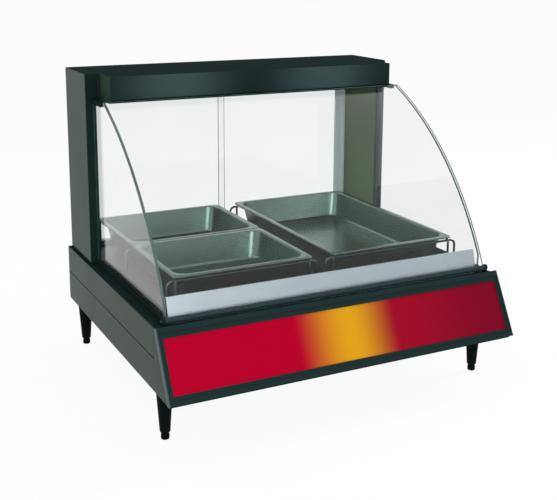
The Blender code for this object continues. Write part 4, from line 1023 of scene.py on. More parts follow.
def thicken(piece: bpy.types.Object, sheet: float, offset: float, even: bool = False) -> None:
    """Gives a thin surface the thickness of its sheet.

    Args:
        piece: The piece.
        sheet: The thickness.
        offset: Minus one for a sheet inside the surface, zero for one on both sides of it.
        even: Whether the thickness stays even round corners.
    """
    wall = piece.modifiers.new("sheet", "SOLIDIFY")
    wall.thickness = sheet
    wall.offset = offset
    wall.use_even_offset = even


def soften_solid(
    node: str, name: str, slot: Slot, finish: Finish, width: float, segments: int = 2, body: str = "case"
) -> None:
    """Rounds the edges of a solid's copy, which then stands for it.

    Args:
        node: The solid's node.
        name: The piece's name.
        slot: Its material slot.
        finish: Its finish.
        width: How far the edges are rounded.
        segments: How many faces round each edge.
        body: The body that it rides on.
    """
    Shape.copy_of(node).soften(width, segments).publish(name, slot, finish, body=body, stands_for=[node])


def finish_pane(node: str, name: str, faces: Axis, arris: float, body: str = "case") -> None:
    """Grinds the edge of a flat pane's copy, which then stands for it.

    Args:
        node: The pane's node.
        name: The piece's name.
        faces: The axis that its large faces look along.
        arris: How far its edges are ground.
        body: The body that it rides on.
    """
    pane = Shape.copy_of(node).soften(arris, 1, angle=SQUARE_EDGE)
    for face in pane.bm.faces:
        face.material_index = 0 if abs(face.normal.dot(faces.along)) > LOOKS_STRAIGHT else 1
    pane.publish(name, Slot.CLEAR_GLASS, CLEAR_GLASS, GLASS_EDGE, body=body, stands_for=[node])


def dress(node: str, finish: Finish) -> None:
    """Gives a solid of the frame its finish.

    Args:
        node: The solid's node.
        finish: The finish.
    """
    solid = bpy.data.objects[node]
    solid.data.materials.clear()
    solid.data.materials.append(finish.material())
    log.info("%s keeps its solid with %s", node, finish.name)


@dataclass
class Studio:
    """The camera at the photograph's angle, the lamps, the world and the floor."""

    frame_width: int = 557
    frame_height: int = 500
    focal_pixels: float = 973.32
    centre_row: float = 165.0
    sensor: float = 36.0
    camera_place: tuple[float, float, float] = (-1.0149, -1.9961, 0.9479)
    yaw: float = -0.4716
    pitch: float = -0.2043
    roll: float = 0.0051
    ambient: float = 0.45
    floor_size: float = 60.0
    sight: float = 200.0

    def build(self) -> None:
        """Sets up the studio."""
        bpy.context.scene.view_settings.view_transform = "Standard"
        self.camera()
        self.world()
        self.lamp("key", (3.2, 0.0, 2.0), (0.0, 0.0, 0.3), 1.2, 105.0)
        self.lamp("front", (-0.7, -2.6, 1.1), (0.0, 0.0, 0.2), 1.3, 25.0)
        self.lamp("side", (-2.4, -0.6, 1.9), (0.0, 0.0, 0.3), 1.4, 13.0)
        self.lamp("rear", (-0.9, 1.6, 2.2), (0.0, 0.0, 0.4), 1.2, 14.0)
        self.floor()

    def camera(self) -> None:
        """Places the camera."""
        data = bpy.data.cameras.new("camera")
        data.sensor_width = self.sensor
        data.lens = self.focal_pixels / self.frame_width * self.sensor
        data.shift_y = (self.centre_row - self.frame_height / 2) / self.frame_width
        data.clip_end = self.sight
        camera = bpy.data.objects.new("camera", data)
        turn = Matrix.Rotation(self.yaw, 4, "Z") @ Matrix.Rotation(math.pi / 2 + self.pitch, 4, "X")
        roll = Matrix.Rotation(self.roll, 4, "Z")
        camera.matrix_world = Matrix.Translation(self.camera_place) @ turn @ roll
        bpy.context.scene.collection.objects.link(camera)
        bpy.context.scene.camera = camera

    def world(self) -> None:
        """Makes a world that is white to the camera, metal and glass, and soft light to the rest."""
        world = bpy.data.worlds.new("studio")
        world.use_nodes = True
        world.node_tree.nodes.clear()
        board = Board(world.node_tree)
        path = board.add("LightPath").outputs
        seen = board.math("MAXIMUM", path["Is Camera Ray"], path["Is Glossy Ray"])
        seen = board.math("MAXIMUM", seen, path["Is Transmission Ray"])
        strength = board.spread(seen, self.ambient, 1.0)
        background = board.add("Background", {"Color": (1.0, 1.0, 1.0, 1.0), "Strength": strength})
        board.add("OutputWorld", {"Surface": background.outputs[0]})
        bpy.context.scene.world = world

    def lamp(
        self,
        name: str,
        place: tuple[float, float, float],
        target: tuple[float, float, float],
        size: float,
        power: float,
        length: float = 0.0,
    ) -> None:
        """Hangs a soft lamp, square unless it has a length of its own.

        Args:
            name: The lamp's name.
            place: Where it hangs.
            target: Where it points.
            size: Its edge.
            power: Its watts.
            length: Its longer edge, or zero.
        """
        data = bpy.data.lights.new(name + "_lamp", "AREA")
        data.shape = "RECTANGLE"
        data.size = size
        data.size_y = length or size
        data.energy = power
        lamp = bpy.data.objects.new(name + "_lamp", data)
        lamp.location = place
        lamp.rotation_euler = (Vector(target) - Vector(place)).to_track_quat("-Z", "Y").to_euler()
        bpy.context.scene.collection.objects.link(lamp)

    def floor(self) -> None:
        """Lays the floor."""
        bm = bmesh.new()
        bmesh.ops.create_grid(bm, x_segments=1, y_segments=1, size=self.floor_size)
        mesh = bpy.data.meshes.new("floor")
        bm.to_mesh(mesh)
        bm.free()
        mesh.materials.append(STUDIO_FLOOR.material())
        floor = bpy.data.objects.new("floor", mesh)
        bpy.context.scene.collection.objects.link(floor)


@dataclass
class BaseCabinet:
    """The heated base: body, side panels, rear panel, cover, deck and what lies under it."""

    fold: float = 0.0006
    top_fold: float = 0.0016
    deck_fold: float = 0.0012
    screw_radius: float = 0.0035
    screw_rise: float = 0.0018
    screw_inset: float = 0.012
    sunk: float = 0.0006

    def build(self) -> None:
        """Builds the base."""
        # faces along X take the lighter side coat: painted light
        body = Shape.copy_of("lower_body").soften(self.fold).faces_along((1, 0, 0), 1)
        body.publish("cabinet_body", Slot.SIDE_PAINT, BLACK_COAT, LIT_SIDE_COAT, stands_for=["lower_body"])
        for side in Side:
            self.side_panel(side)
        soften_solid("rear_panel", "rear_wall", Slot.BLACK_PAINT, BLACK_COAT, self.fold)
        soften_solid("heated_deck", "deck_plate", Slot.DECK_STEEL, DECK_COAT, self.deck_fold, 3)
        self.screws()
        dress("bottom_cover", BLACK_COAT)
        dress("deck_element", HEATER_STEEL)
        dress("insulation_pad", MINERAL_WOOL)

    def side_panel(self, side: Side) -> None:
        """Rounds the folds of a side panel.

        Args:
            side: Its side.
        """
        node = side.word + "_side_panel"
        low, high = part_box(node)
        wall = side.value * max(abs(low.x), abs(high.x))

        def is_fold(edge: BMEdge) -> bool:
            """Tells whether an edge is the outer fold along the panel's top."""
            ends = [vert.co for vert in edge.verts]
            return all(abs(end.x - wall) < self.fold and high.z - end.z < self.fold for end in ends)

        panel = Shape.copy_of(node)
        panel.soften(self.top_fold, 5, where=is_fold)
        panel.soften(self.fold / 2, 2, angle=SQUARE_EDGE)
        # faces along X take the lighter side coat: painted light
        panel.faces_along((1, 0, 0), 1)
        panel.publish(side.word + "_upper_panel", Slot.SIDE_PAINT, BLACK_COAT, LIT_SIDE_COAT, stands_for=[node])

    def screws(self) -> None:
        """Sets domed screws with a sunk middle along the rear panel's upper and lower edge."""
        low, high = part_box("rear_panel")
        half_x = high.x - self.screw_inset
        rows = (low.z + self.screw_inset, high.z - self.screw_inset)
        squash = self.screw_rise / self.screw_radius
        dome = [(up * squash, out) for out, up in arc((0.0, 0.0), self.screw_radius, 5, 60, 4)]
        heads = Shape()
        for x in (-half_x, -half_x / 3, half_x / 3, half_x):
            for z in rows:
                head = Shape.turned([(0.0, self.screw_radius), *dome], Vector((x, high.y, z)), Axis.Y, 20)
                top = head.face_towards((0, 1, 0))
                rim = self.screw_radius / 6
                bmesh.ops.inset_individual(head.bm, faces=[top], thickness=rim, depth=-self.sunk)
                heads.add(head)
        heads.publish("rear_screws", Slot.RACK_WIRE, WIRE_STEEL)


@dataclass
class SignHolder:
    """The sloping sign holder: a stepped frame, its film and two end caps."""

    frame_round: float = 0.0004
    cap_round: float = 0.0006

    def build(self) -> None:
        """Builds the sign holder."""
        # the surround's coat is lighter than the black coat: painted light
        soften_solid("sign_frame", "sign_surround", Slot.BLACK_PAINT, LIT_SIGN_COAT, self.frame_round)
        dress("sign_insert", SIGN_FILM)
        for side in Side:
            cap = side.word + "_sign_cap"
            soften_solid(cap, side.word + "_end_cap", Slot.SATIN_METAL, CAP_ALUMINIUM, self.cap_round, 3)


@dataclass
class LegSet:
    """Four tapered legs on levelling feet."""

    leg_bottom: float = 0.0110
    leg_round: float = 0.0020
    foot_chamfer: float = 0.0020
    waist: float = 0.0078
    stud: float = 0.0040
    groove: float = 0.0006
    edge: float = 0.0003

    def build(self) -> None:
        """Builds the legs and feet."""
        for side in Side:
            for end in ("front", "rear"):
                name = f"{end}_{side.word}"
                self.leg(name)
                self.foot(name)

    def leg(self, name: str) -> None:
        """Turns a leg.

        Args:
            name: The leg's place.
        """
        low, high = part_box(name + "_leg")
        leg_top = (high.x - low.x) / 2
        ease = self.leg_round / 2
        profile = [
            (low.z, self.leg_bottom - ease),
            *arc((low.z + ease, self.leg_bottom - ease), ease, 150, 90, 4),
            (high.z - self.leg_round, leg_top),
            *arc((high.z - ease, leg_top - ease), ease, 90, 20, 4),
        ]
        leg = Shape.turned(profile, Axis.Z.point(name + "_leg"), Axis.Z)
        leg.publish(name + "_tapered_leg", Slot.BLACK_PLASTIC, BLACK_PLASTIC, stands_for=[name + "_leg"])

    def foot(self, name: str) -> None:
        """Turns a levelling foot with a grip groove round its head.

        Args:
            name: The foot's place.
        """
        low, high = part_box(name + "_foot")
        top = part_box(name + "_leg")[0].z
        middle = top / 2
        radius = (high.x - low.x) / 2
        profile = [
            (0.0, radius - self.foot_chamfer),
            *arc((self.foot_chamfer, radius - self.foot_chamfer), self.foot_chamfer, 180, 90, 4),
            (middle - 3 * self.groove, radius),
            (middle - 2 * self.groove, radius - self.groove),
            (middle - self.groove, radius),
            (middle, radius),
            (top - 2 * self.edge, self.waist),
            (top - self.edge, self.waist - self.edge),
            (top - self.edge, self.stud),
            (high.z, self.stud),
        ]
        body = name + "_foot"
        foot = Shape.turned(profile, Axis.Z.point(body), Axis.Z)
        piece = name + "_levelling_foot"
        foot.publish(piece, Slot.BLACK_PLASTIC, BLACK_PLASTIC, body=body, stands_for=[body])


@dataclass
class PostsAndCanopy:
    """The rear posts, the canopy and what is mounted in it."""

    corner: float = 0.0025
    roll: float = 0.012
    roll_shade: float = 0.12
    roll_ahead: float = 0.05
    crisp: float = 0.0012
    neck_inset: float = 0.003
    neck: float = 0.004
    sheet: float = 0.0015
    play: float = 0.0003
    front_lip: float = 0.028
    rear_lip: float = 0.022
    edge: float = 0.0006
    pin_length: float = 0.012
    ribs: int = 4
    rib_start: float = 0.2
    rib_pitch: float = 0.15
    rib_depth: float = 0.001
    bulb_length: float = 0.070
    bulb_neck: float = 0.62
    bulb_cap: float = 0.9
    guard_wire: float = 0.0014
    guard_runs: int = 4
    guard_ribs: int = 6
    guard_overhang: float = 0.030

    def build(self) -> None:
        """Builds the posts and the canopy."""
        for side in Side:
            self.post(side)
            self.lamp(side)
            clip = side.word + "_element_clip"
            soften_solid(clip, side.word + "_ceramic_clip", Slot.CERAMIC, CERAMIC, self.edge)
        self.housing()
        dress("reflector", MIRROR_ALUMINIUM)
        self.element()
        self.guard()

    def post(self, side: Side) -> None:
        """Builds a post with rounded corners over a recessed foot.

        Args:
            side: Its side.
        """
        node = side.word + "_post"
        low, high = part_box(node)
        post = Shape.block(Vector((low.x, low.y, low.z + self.neck)), high)
        post.soften(self.corner, 6, where=lambda edge: heights(edge)[1] - heights(edge)[0] > self.neck)
        post.soften(self.crisp, 4, where=lambda edge: heights(edge)[0] > high.z - self.crisp)
        foot = post.face_towards((0, 0, -1))
        bmesh.ops.inset_region(post.bm, faces=[foot], thickness=self.neck_inset)
        post.extrude(foot, (0, 0, -self.neck))
        bmesh.ops.delete(post.bm, geom=[foot], context="FACES_ONLY")
        # outer faces along X take the lighter side coat and inner faces the olive inner coat, both painted
        # light
        post.outward().faces_along((1, 0, 0), 1).faces_along((-side.value, 0, 0), 2, one_way=True)
        # the inner faces' olive coat is painted light
        coats = (BLACK_COAT, LIT_SIDE_COAT, LIT_INNER_COAT)
        post.publish(side.word + "_column", Slot.SIDE_PAINT, *coats, stands_for=[node])

    def housing(self) -> None:
        """Builds the canopy housing: a folded sheet, rolled under at its front, open below."""
        low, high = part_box("canopy_housing")
        post_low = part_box("right_post")[0]
        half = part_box("reflector")[1].x + self.sheet + self.play
        plan = [
            (low.x, high.y),
            (low.x, post_low.y),
            (-half, post_low.y),
            (-half, low.y),
            (half, low.y),
            (half, post_low.y),
            (high.x, post_low.y),
            (high.x, high.y),
        ]
        shell = Shape.extruded([(x, y, low.z) for x, y in plan], (0, 0, high.z - low.z))

        def is_front(edge: BMEdge, z: float) -> bool:
            """Tells whether an edge runs along the canopy's front at a height."""
            near = MERGE_DISTANCE
            return all(abs(vert.co.y - low.y) < near and abs(vert.co.z - z) < near for vert in edge.verts)

        shell.soften(self.roll, 12, where=lambda edge: is_front(edge, low.z))
        shell.soften(self.corner, 5, where=lambda edge: is_front(edge, high.z))
        shell.soften(self.crisp, 3, where=lambda edge: heights(edge)[0] > low.z + self.roll / 2)
        inner = half - self.sheet
        cuts = [
            ((0, low.y + self.front_lip, 0), (0, 1, 0)),
            ((0, high.y - self.sheet - self.rear_lip, 0), (0, 1, 0)),
            ((-inner, 0, 0), (1, 0, 0)),
            ((inner, 0, 0), (1, 0, 0)),
        ]
        for place, direction in cuts:
            below = self.underside(shell)
            edges = {edge for face in below for edge in face.edges}
            verts = {vert for face in below for vert in face.verts}
            parts = [*below, *edges, *verts]
            bmesh.ops.bisect_plane(
                shell.bm, geom=parts, plane_co=place, plane_no=direction, dist=MERGE_DISTANCE
            )
        mouth = [face for face in self.underside(shell) if self.in_mouth(face, low, high, inner)]
        bmesh.ops.delete(shell.bm, geom=mouth, context="FACES")
        # end faces take the lit end coat and front faces the coat with painted highlight bands, both painted
        # light
        shell.faces_along((1, 0, 0), 1).faces_along((0, -1, 0), 2, one_way=True)
        # faces that turn down under the front roll take the darker coat: painted shade
        for face in shell.bm.faces:
            if face.normal.y < -self.roll_ahead and face.normal.z < -self.roll_shade:
                face.material_index = 3
        piece = shell.publish(
            "canopy_shell",
            Slot.BLACK_PAINT,
            BLACK_COAT,
            LIT_END_COAT,
            CANOPY_HIGHLIGHT_COAT,
            SHADED_ROLL_COAT,
            stands_for=["canopy_housing"],
            even=False,
        )
        thicken(piece, self.sheet, -1.0, even=True)
        even_normals(piece)

    def underside(self, shell: Shape) -> list[BMFace]:
        """Lists the canopy's faces that look straight down."""
        return [face for face in shell.bm.faces if face.normal.z < -LOOKS_EXACTLY]

    def in_mouth(self, face: BMFace, low: Vector, high: Vector, inner: float) -> bool:
        """Tells whether a face of the canopy's underside lies in its mouth.

        Args:
            face: The face.
            low: The canopy's lowest corner.
            high: Its highest corner.
            inner: Half the mouth's width.

        Returns:
            Whether it does.
        """
        middle = face.calc_center_median()
        ahead = low.y + self.front_lip < middle.y < high.y - self.sheet - self.rear_lip
        return ahead and abs(middle.x) < inner

    def element(self) -> None:
        """Turns the infrared element with its thinner end pins."""
        low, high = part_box("infrared_element")
        radius = (high.z - low.z) / 2
        pin = radius / 2
        left, right = low.x + self.pin_length, high.x - self.pin_length
        profile = [
            (low.x, pin),
            (left, pin),
            (left, radius - self.edge),
            (left + self.edge, radius),
            (right - self.edge, radius),
            (right, radius - self.edge),
            (right, pin),
            (high.x, pin),
        ]
        rod = Shape.turned(profile, Axis.X.point("infrared_element"), Axis.X, 32)
        rod.publish("infrared_rod", Slot.HEATER_STEEL, HEATER_STEEL, stands_for=["infrared_element"])

    def lamp(self, side: Side) -> None:
        """Turns a lamp and its ribbed socket.

        Args:
            side: Their side.
        """
        node = side.word + "_lamp_socket"
        low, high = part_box(node)
        radius = (high.z - low.z) / 2
        length = high.x - low.x
        depth = self.rib_depth
        deep = radius - depth
        profile = [(0.0, radius)]
        for rib in range(self.ribs):
            start = length * (self.rib_start + self.rib_pitch * rib)
            profile += [(start, radius), (start + depth, deep), (start + 3 * depth, deep)]
            profile.append((start + 4 * depth, radius))
        profile += [(length - depth, radius), (length, deep)]
        self.turn_inwards(profile, node, side, side.word + "_ribbed_socket", Slot.CERAMIC, CERAMIC)
        node = side.word + "_lamp"
        low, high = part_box(node)
        bulb = (high.z - low.z) / 2
        length = high.x - low.x
        neck = bulb * self.bulb_neck
        base = length - self.bulb_length
        profile = [
            (0.0, neck * self.bulb_cap),
            (base, neck * self.bulb_cap),
            (base + 0.004, neck),
            (base + 0.020, bulb * 0.96),
            (base + 0.026, bulb),
            *[(length - bulb + b, a) for a, b in arc((0.0, 0.0), bulb, 4, 88, 10)],
        ]
        self.turn_inwards(profile, node, side, node + "_bulb", Slot.LAMP_GLASS, LAMP_GLASS)

    def turn_inwards(
        self, profile: list[Point], node: str, side: Side, name: str, slot: Slot, finish: Finish
    ) -> None:
        """Turns a profile that runs from a solid's outer end towards the middle of the case.

        Args:
            profile: Points as (distance from the outer end, radius).
            node: The solid that the piece stands for.
            side: Its side.
            name: The piece's name.
            slot: Its material slot.
            finish: Its finish.
        """
        low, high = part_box(node)
        start = Axis.X.point(node, side.end(low.x, high.x))
        flipped = [(-side.value * along, out) for along, out in profile]
        Shape.turned(flipped, start, Axis.X).publish(name, slot, finish, stands_for=[node])

    def guard(self) -> None:
        """Welds the wire guard: ribs across the mouth and runs along it."""
        low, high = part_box("lamp_guard")
        wire = self.guard_wire
        rib_z, run_z = low.z + wire, high.z - wire
        canopy_low, canopy_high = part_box("canopy_housing")
        first = canopy_high.y - self.sheet - self.rear_lip - 2 * wire
        last = canopy_low.y + self.front_lip + 2 * wire
        guard = Shape()
        for index in range(self.guard_ribs):
            x = (high.x - self.guard_overhang) * (2 * index / (self.guard_ribs - 1) - 1)
            guard.add(Shape.wire([(x, low.y, rib_z), (x, high.y, rib_z)], wire, wire, 10))
        for index in range(self.guard_runs):
            y = first + (last - first) * index / (self.guard_runs - 1)
            guard.add(Shape.wire([(low.x, y, run_z), (high.x, y, run_z)], wire, wire, 10))
        guard.publish("wire_guard", Slot.RACK_WIRE, WIRE_STEEL, stands_for=["lamp_guard"])


@dataclass
class Glazing:
    """The curved front glass in its pivot rail, the side glass, its rails and the apron."""

    pivot: Vector
    glass: float = 0.005
    gap: float = 0.0003
    arris: float = 0.0005
    foot_setback: float = 0.0015
    foot_rise: float = 0.003
    top_ahead: float = 0.007
    top_rise: float = 0.007
    arc_rise: float = 0.050
    arc_steps: int = 56
    rail_end: float = 0.002
    pin_radius: float = 0.0030
    pin_root: float = 0.001
    pin_edge: float = 0.0004
    fold: float = 0.0004

    def build(self) -> None:
        """Builds the glazing."""
        self.front_glass()
        self.pivot_rail()
        for side in Side:
            finish_pane(side.word + "_side_glass", side.word + "_side_pane", Axis.X, self.arris)
            for node, name in (
                ("_glass_channel", "_lower_channel"),
                ("_top_rail", "_upper_rail"),
                ("_pivot_bracket", "_pin_bracket"),
            ):
                soften_solid(side.word + node, side.word + name, Slot.BLACK_PAINT, BLACK_COAT, self.fold)
        soften_solid("front_apron", "satin_apron", Slot.SATIN_METAL, SATIN_ALUMINIUM, self.fold)

    def curve(self) -> tuple[Vector, Vector, Vector, float]:
        """Works out the circle that the front glass follows.

        Returns:
            The lower end, the upper end and the centre as (y, z), and the sweep between the ends.
        """
        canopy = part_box("canopy_housing")[0]
        low = Vector((self.pivot.y + self.foot_setback, self.pivot.z + self.foot_rise))
        high = Vector((canopy.y - self.top_ahead, canopy.z + self.top_rise))
        chord = high - low
        radius = (chord.length_squared / 4 + self.arc_rise**2) / (2 * self.arc_rise)
        outward = Vector((-chord.y, chord.x)).normalized()
        centre = (low + high) / 2 - outward * (radius - self.arc_rise)
        return low, high, centre, 2 * math.asin(chord.length / 2 / radius)

    def front_glass(self) -> None:
        """Spins the thin section of the pane about the middle of its curve."""
        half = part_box("front_glass")[1].x
        low, _, centre, sweep = self.curve()
        out = (low - centre).normalized()
        pane = Shape()
        ends = [low + out * reach for reach in (self.glass / 2, -self.glass / 2)]
        corners = [(-half, *ends[0]), (half, *ends[0]), (half, *ends[1]), (-half, *ends[1])]
        section = pane.bm.faces.new([pane.bm.verts.new(corner) for corner in corners])
        middle = Vector((0.0, centre.x, centre.y))
        pane.swing([section, *section.edges, *section.verts], middle, (1, 0, 0), -sweep, self.arc_steps)
        pane.outward().soften(self.arris, 1, angle=SQUARE_EDGE)
        for face in pane.bm.faces:
            away = face.calc_center_median() - middle
            away.x = 0.0
            face.material_index = 0 if abs(face.normal.dot(away.normalized())) > LOOKS_STRAIGHT else 1
        node = "front_glass"
        finishes = (CLEAR_GLASS, GLASS_EDGE)
        pane.publish("curved_front_pane", Slot.CLEAR_GLASS, *finishes, body=node, stands_for=[node])

    def pivot_rail(self) -> None:
        """Extrudes the slotted round rail and turns the two pins that it tilts on."""
        node = "pivot_rail"
        low_box, high_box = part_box(node)
        radius = (high_box.z - low_box.z) / 2
        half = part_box("front_glass")[1].x + self.rail_end
        low, _, centre, _ = self.curve()
        out = (low - centre).normalized()
        up = Vector((out.y, -out.x))
        up = up if up.y > 0 else -up
        across = Vector((up.y, -up.x))
        offset = Vector((low.x - self.pivot.y, low.y - self.pivot.z))
        middle = offset.dot(across)
        base = offset.dot(up) - self.gap
        wide = self.glass / 2 + self.gap
        right = math.degrees(math.acos((middle + wide) / radius))
        left = math.degrees(math.acos((middle - wide) / radius))
        outline = arc((0.0, 0.0), radius, right, left - 360, 40)
        outline += [(middle - wide, base), (middle + wide, base)]
        spots = [across * a + up * b for a, b in outline]
        places = [(-half, self.pivot.y + spot.x, self.pivot.z + spot.y) for spot in spots]
        rail = Shape.extruded(places, (2 * half, 0, 0))
        for side in Side:
            reach = side.end(low_box.x, high_box.x)
            profile = [
                (side.value * (half - self.pin_root), self.pin_radius),
                (reach - side.value * self.pin_edge, self.pin_radius),
                (reach, self.pin_radius - self.pin_edge),
            ]
            rail.add(Shape.turned(profile, Vector((0.0, self.pivot.y, self.pivot.z)), Axis.X, 24))
        # the rail's lighter, bluer coat is a painted highlight
        rail.publish("slotted_pivot_rail", Slot.BLACK_PAINT, LIT_RAIL_COAT, body="front_glass", stands_for=[node])


@dataclass
class RearDoors:
    """Two sliding glass doors with grooved pulls, and their tracks."""

    arris: float = 0.0004
    round_edge: float = 0.0004

    def build(self) -> None:
        """Builds the doors and tracks."""
        for side in Side:
            door = side.word + "_door"
            finish_pane(door + "_glass", side.word + "_sliding_pane", Axis.Y, self.arris, body=door)
            pull = side.word + "_grooved_pull"
            soften_solid(door + "_pull", pull, Slot.SATIN_METAL, DOOR_ALUMINIUM, self.round_edge, body=door)
        for place in ("lower", "upper"):
            track = place + "_sliding_track"
            edge = self.round_edge / 2
            soften_solid(place + "_door_track", track, Slot.SATIN_METAL, SATIN_ALUMINIUM, edge)


@dataclass
class Controls:
    """The thermostat knob and dial, the rocker switches and the power inlet."""

    flutes: int = 18
    flute_depth: float = 0.0007
    round_edge: float = 0.0005
    rocker_angle: float = math.radians(40)
    shaft: float = 0.003
    knob_gap: float = 0.0012
    skirt: float = 0.004
    skirt_edge: float = 0.0006
    grip: tuple[float, float, float, float] = (0.0012, 0.0020, 0.0036, 0.0056)
    crown_height: float = 0.0016
    fluted: float = 0.7
    pointer_rise: float = 0.003
    ridge: float = 0.0025
    ridge_root: float = 0.001
    ridge_end: float = 0.006
    ridge_round: float = 0.0008
    mark: float = 0.0006
    mark_rise: float = 0.0001
    mark_start: float = 0.15
    mark_end: float = 0.0075
    tick_count: int = 11
    tick_group: int = 5
    tick_short: float = 0.6
    tick_gap: float = 0.003
    tick_sweep: float = 270.0
    tick: Point = (0.0007, 0.0035)
    tick_rise: float = 0.0002
    pin: Point = (0.002, 0.001)
    pin_places: tuple[Point, ...] = ((-0.007, -0.002), (0.0, 0.002), (0.007, -0.002))
    pin_root: float = 0.0025
    pin_setback: float = 0.003
    pin_round: float = 0.0004

    def build(self) -> None:
        """Builds the controls."""
        self.knob()
        self.dial()
        for name in ("heat_switch", "light_switch"):
            rocker = Shape.copy_of(name).soften(self.round_edge, 2, angle=self.rocker_angle)
            rocker.publish(name + "_rocker", Slot.SWITCH_RED, RED_PLASTIC, body=name, stands_for=[name])
        for node, name in (("switch_bezel", "rocker_bezel"), ("power_inlet", "inlet_shroud")):
            soften_solid(node, name, Slot.BLACK_PLASTIC, BLACK_PLASTIC, self.round_edge)
        self.pins()
        dress("thermostat", BLACK_PLASTIC)

    def knob(self) -> None:
        """Turns the fluted knob on its shaft and adds its pointer."""
        node = "thermostat_knob"
        low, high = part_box(node)
        radius = (high.x - low.x) / 2
        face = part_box("rear_panel")[1].y + self.knob_gap
        tip = high.y - self.pointer_rise
        centre = Axis.Y.point(node)
        skirt = face + self.skirt
        step, waist, shoulder, crown = (radius - inset for inset in self.grip)
        profile = [
            (low.y, self.shaft),
            (face, self.shaft),
            (face, radius - self.skirt_edge),
            (face + self.skirt_edge, radius),
            (skirt, radius),
            (skirt + self.skirt_edge, step),
            (face + (tip - face) / 2, waist),
            (tip - self.crown_height, shoulder),
            (tip, crown),
        ]
        knob = Shape.turned(profile, centre, Axis.Y, 4 * self.flutes)
        for vert in knob.bm.verts:
            spoke = Vector((vert.co.x - centre.x, 0.0, vert.co.z - centre.z))
            if vert.co.y > skirt + self.skirt_edge - self.mark_rise and spoke.length > radius * self.fluted:
                wave = 0.5 + 0.5 * math.cos(self.flutes * math.atan2(spoke.z, spoke.x))
                vert.co -= spoke.normalized() * self.flute_depth * wave
        ridge_low = Vector((centre.x - self.ridge, tip - self.ridge_root, centre.z - radius / 2))
        ridge_high = Vector((centre.x + self.ridge, high.y, centre.z + radius - self.ridge_end))
        knob.add(Shape.block(ridge_low, ridge_high).soften(self.ridge_round, 3))
        knob.publish("fluted_knob", Slot.BLACK_PLASTIC, BLACK_PLASTIC, body=node, stands_for=[node])
        start, end = centre.z + radius * self.mark_start, centre.z + radius - self.mark_end
        mark_low = Vector((centre.x - self.mark, high.y - self.mark_rise, start))
        mark_high = Vector((centre.x + self.mark, high.y + self.mark_rise, end))
        mark = Shape.block(mark_low, mark_high)
        mark.publish("pointer_line", Slot.BLACK_PLASTIC, PRINTED_WHITE, body=node, even=False)

    def dial(self) -> None:
        """Prints the ticks of the dial round the knob."""
        low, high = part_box("thermostat_knob")
        centre = Axis.Y.point("thermostat_knob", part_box("rear_panel")[1].y)
        inner = (high.x - low.x) / 2 + self.tick_gap
        ticks = Shape()
        for index in range(self.tick_count):
            angle = math.radians(self.tick_sweep * (index / (self.tick_count - 1) - 0.5))
            width, length = self.tick
            tall = length if index % self.tick_group == 0 else length * self.tick_short
            outer = Vector((width / 2, self.tick_rise, inner + tall))
            tick = Shape.block(Vector((-width / 2, 0, inner)), outer)
            turn = Matrix.Translation(centre) @ Matrix.Rotation(angle, 4, "Y")
            bmesh.ops.transform(tick.bm, matrix=turn, verts=tick.bm.verts)
            ticks.add(tick)
        ticks.publish("dial_ticks", Slot.BLACK_PLASTIC, PRINTED_WHITE, even=False)

    def pins(self) -> None:
        """Sets the three flat pins in the power inlet."""
        low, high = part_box("power_inlet")
        middle = (low + high) / 2
        wide, tall = self.pin
        pins = Shape()
        for x, z in self.pin_places:
            near = Vector((middle.x + x - wide, low.y + self.pin_root, middle.z + z - tall))
            far = Vector((middle.x + x + wide, high.y - self.pin_setback, middle.z + z + tall))
            pins.add(Shape.block(near, far).soften(self.pin_round, 2))
        pins.publish("inlet_pins", Slot.RACK_WIRE, WIRE_STEEL)


@dataclass(frozen=True)
class PanOutline:
    """The outline of a pan at one height: a rectangle with rounded corners."""

    centre: Vector
    half: Vector
    radius: float
    height: float

    def hub(self, spot: Vector) -> Vector:
        """Finds the centre of the rounded corner that a spot belongs to.

        Args:
            spot: The spot.

        Returns:
            The corner's centre, at the outline's height.
        """
        x = math.copysign(self.half.x - self.radius, spot.x - self.centre.x)
        y = math.copysign(self.half.y - self.radius, spot.y - self.centre.y)
        return Vector((self.centre.x + x, self.centre.y + y, self.height))


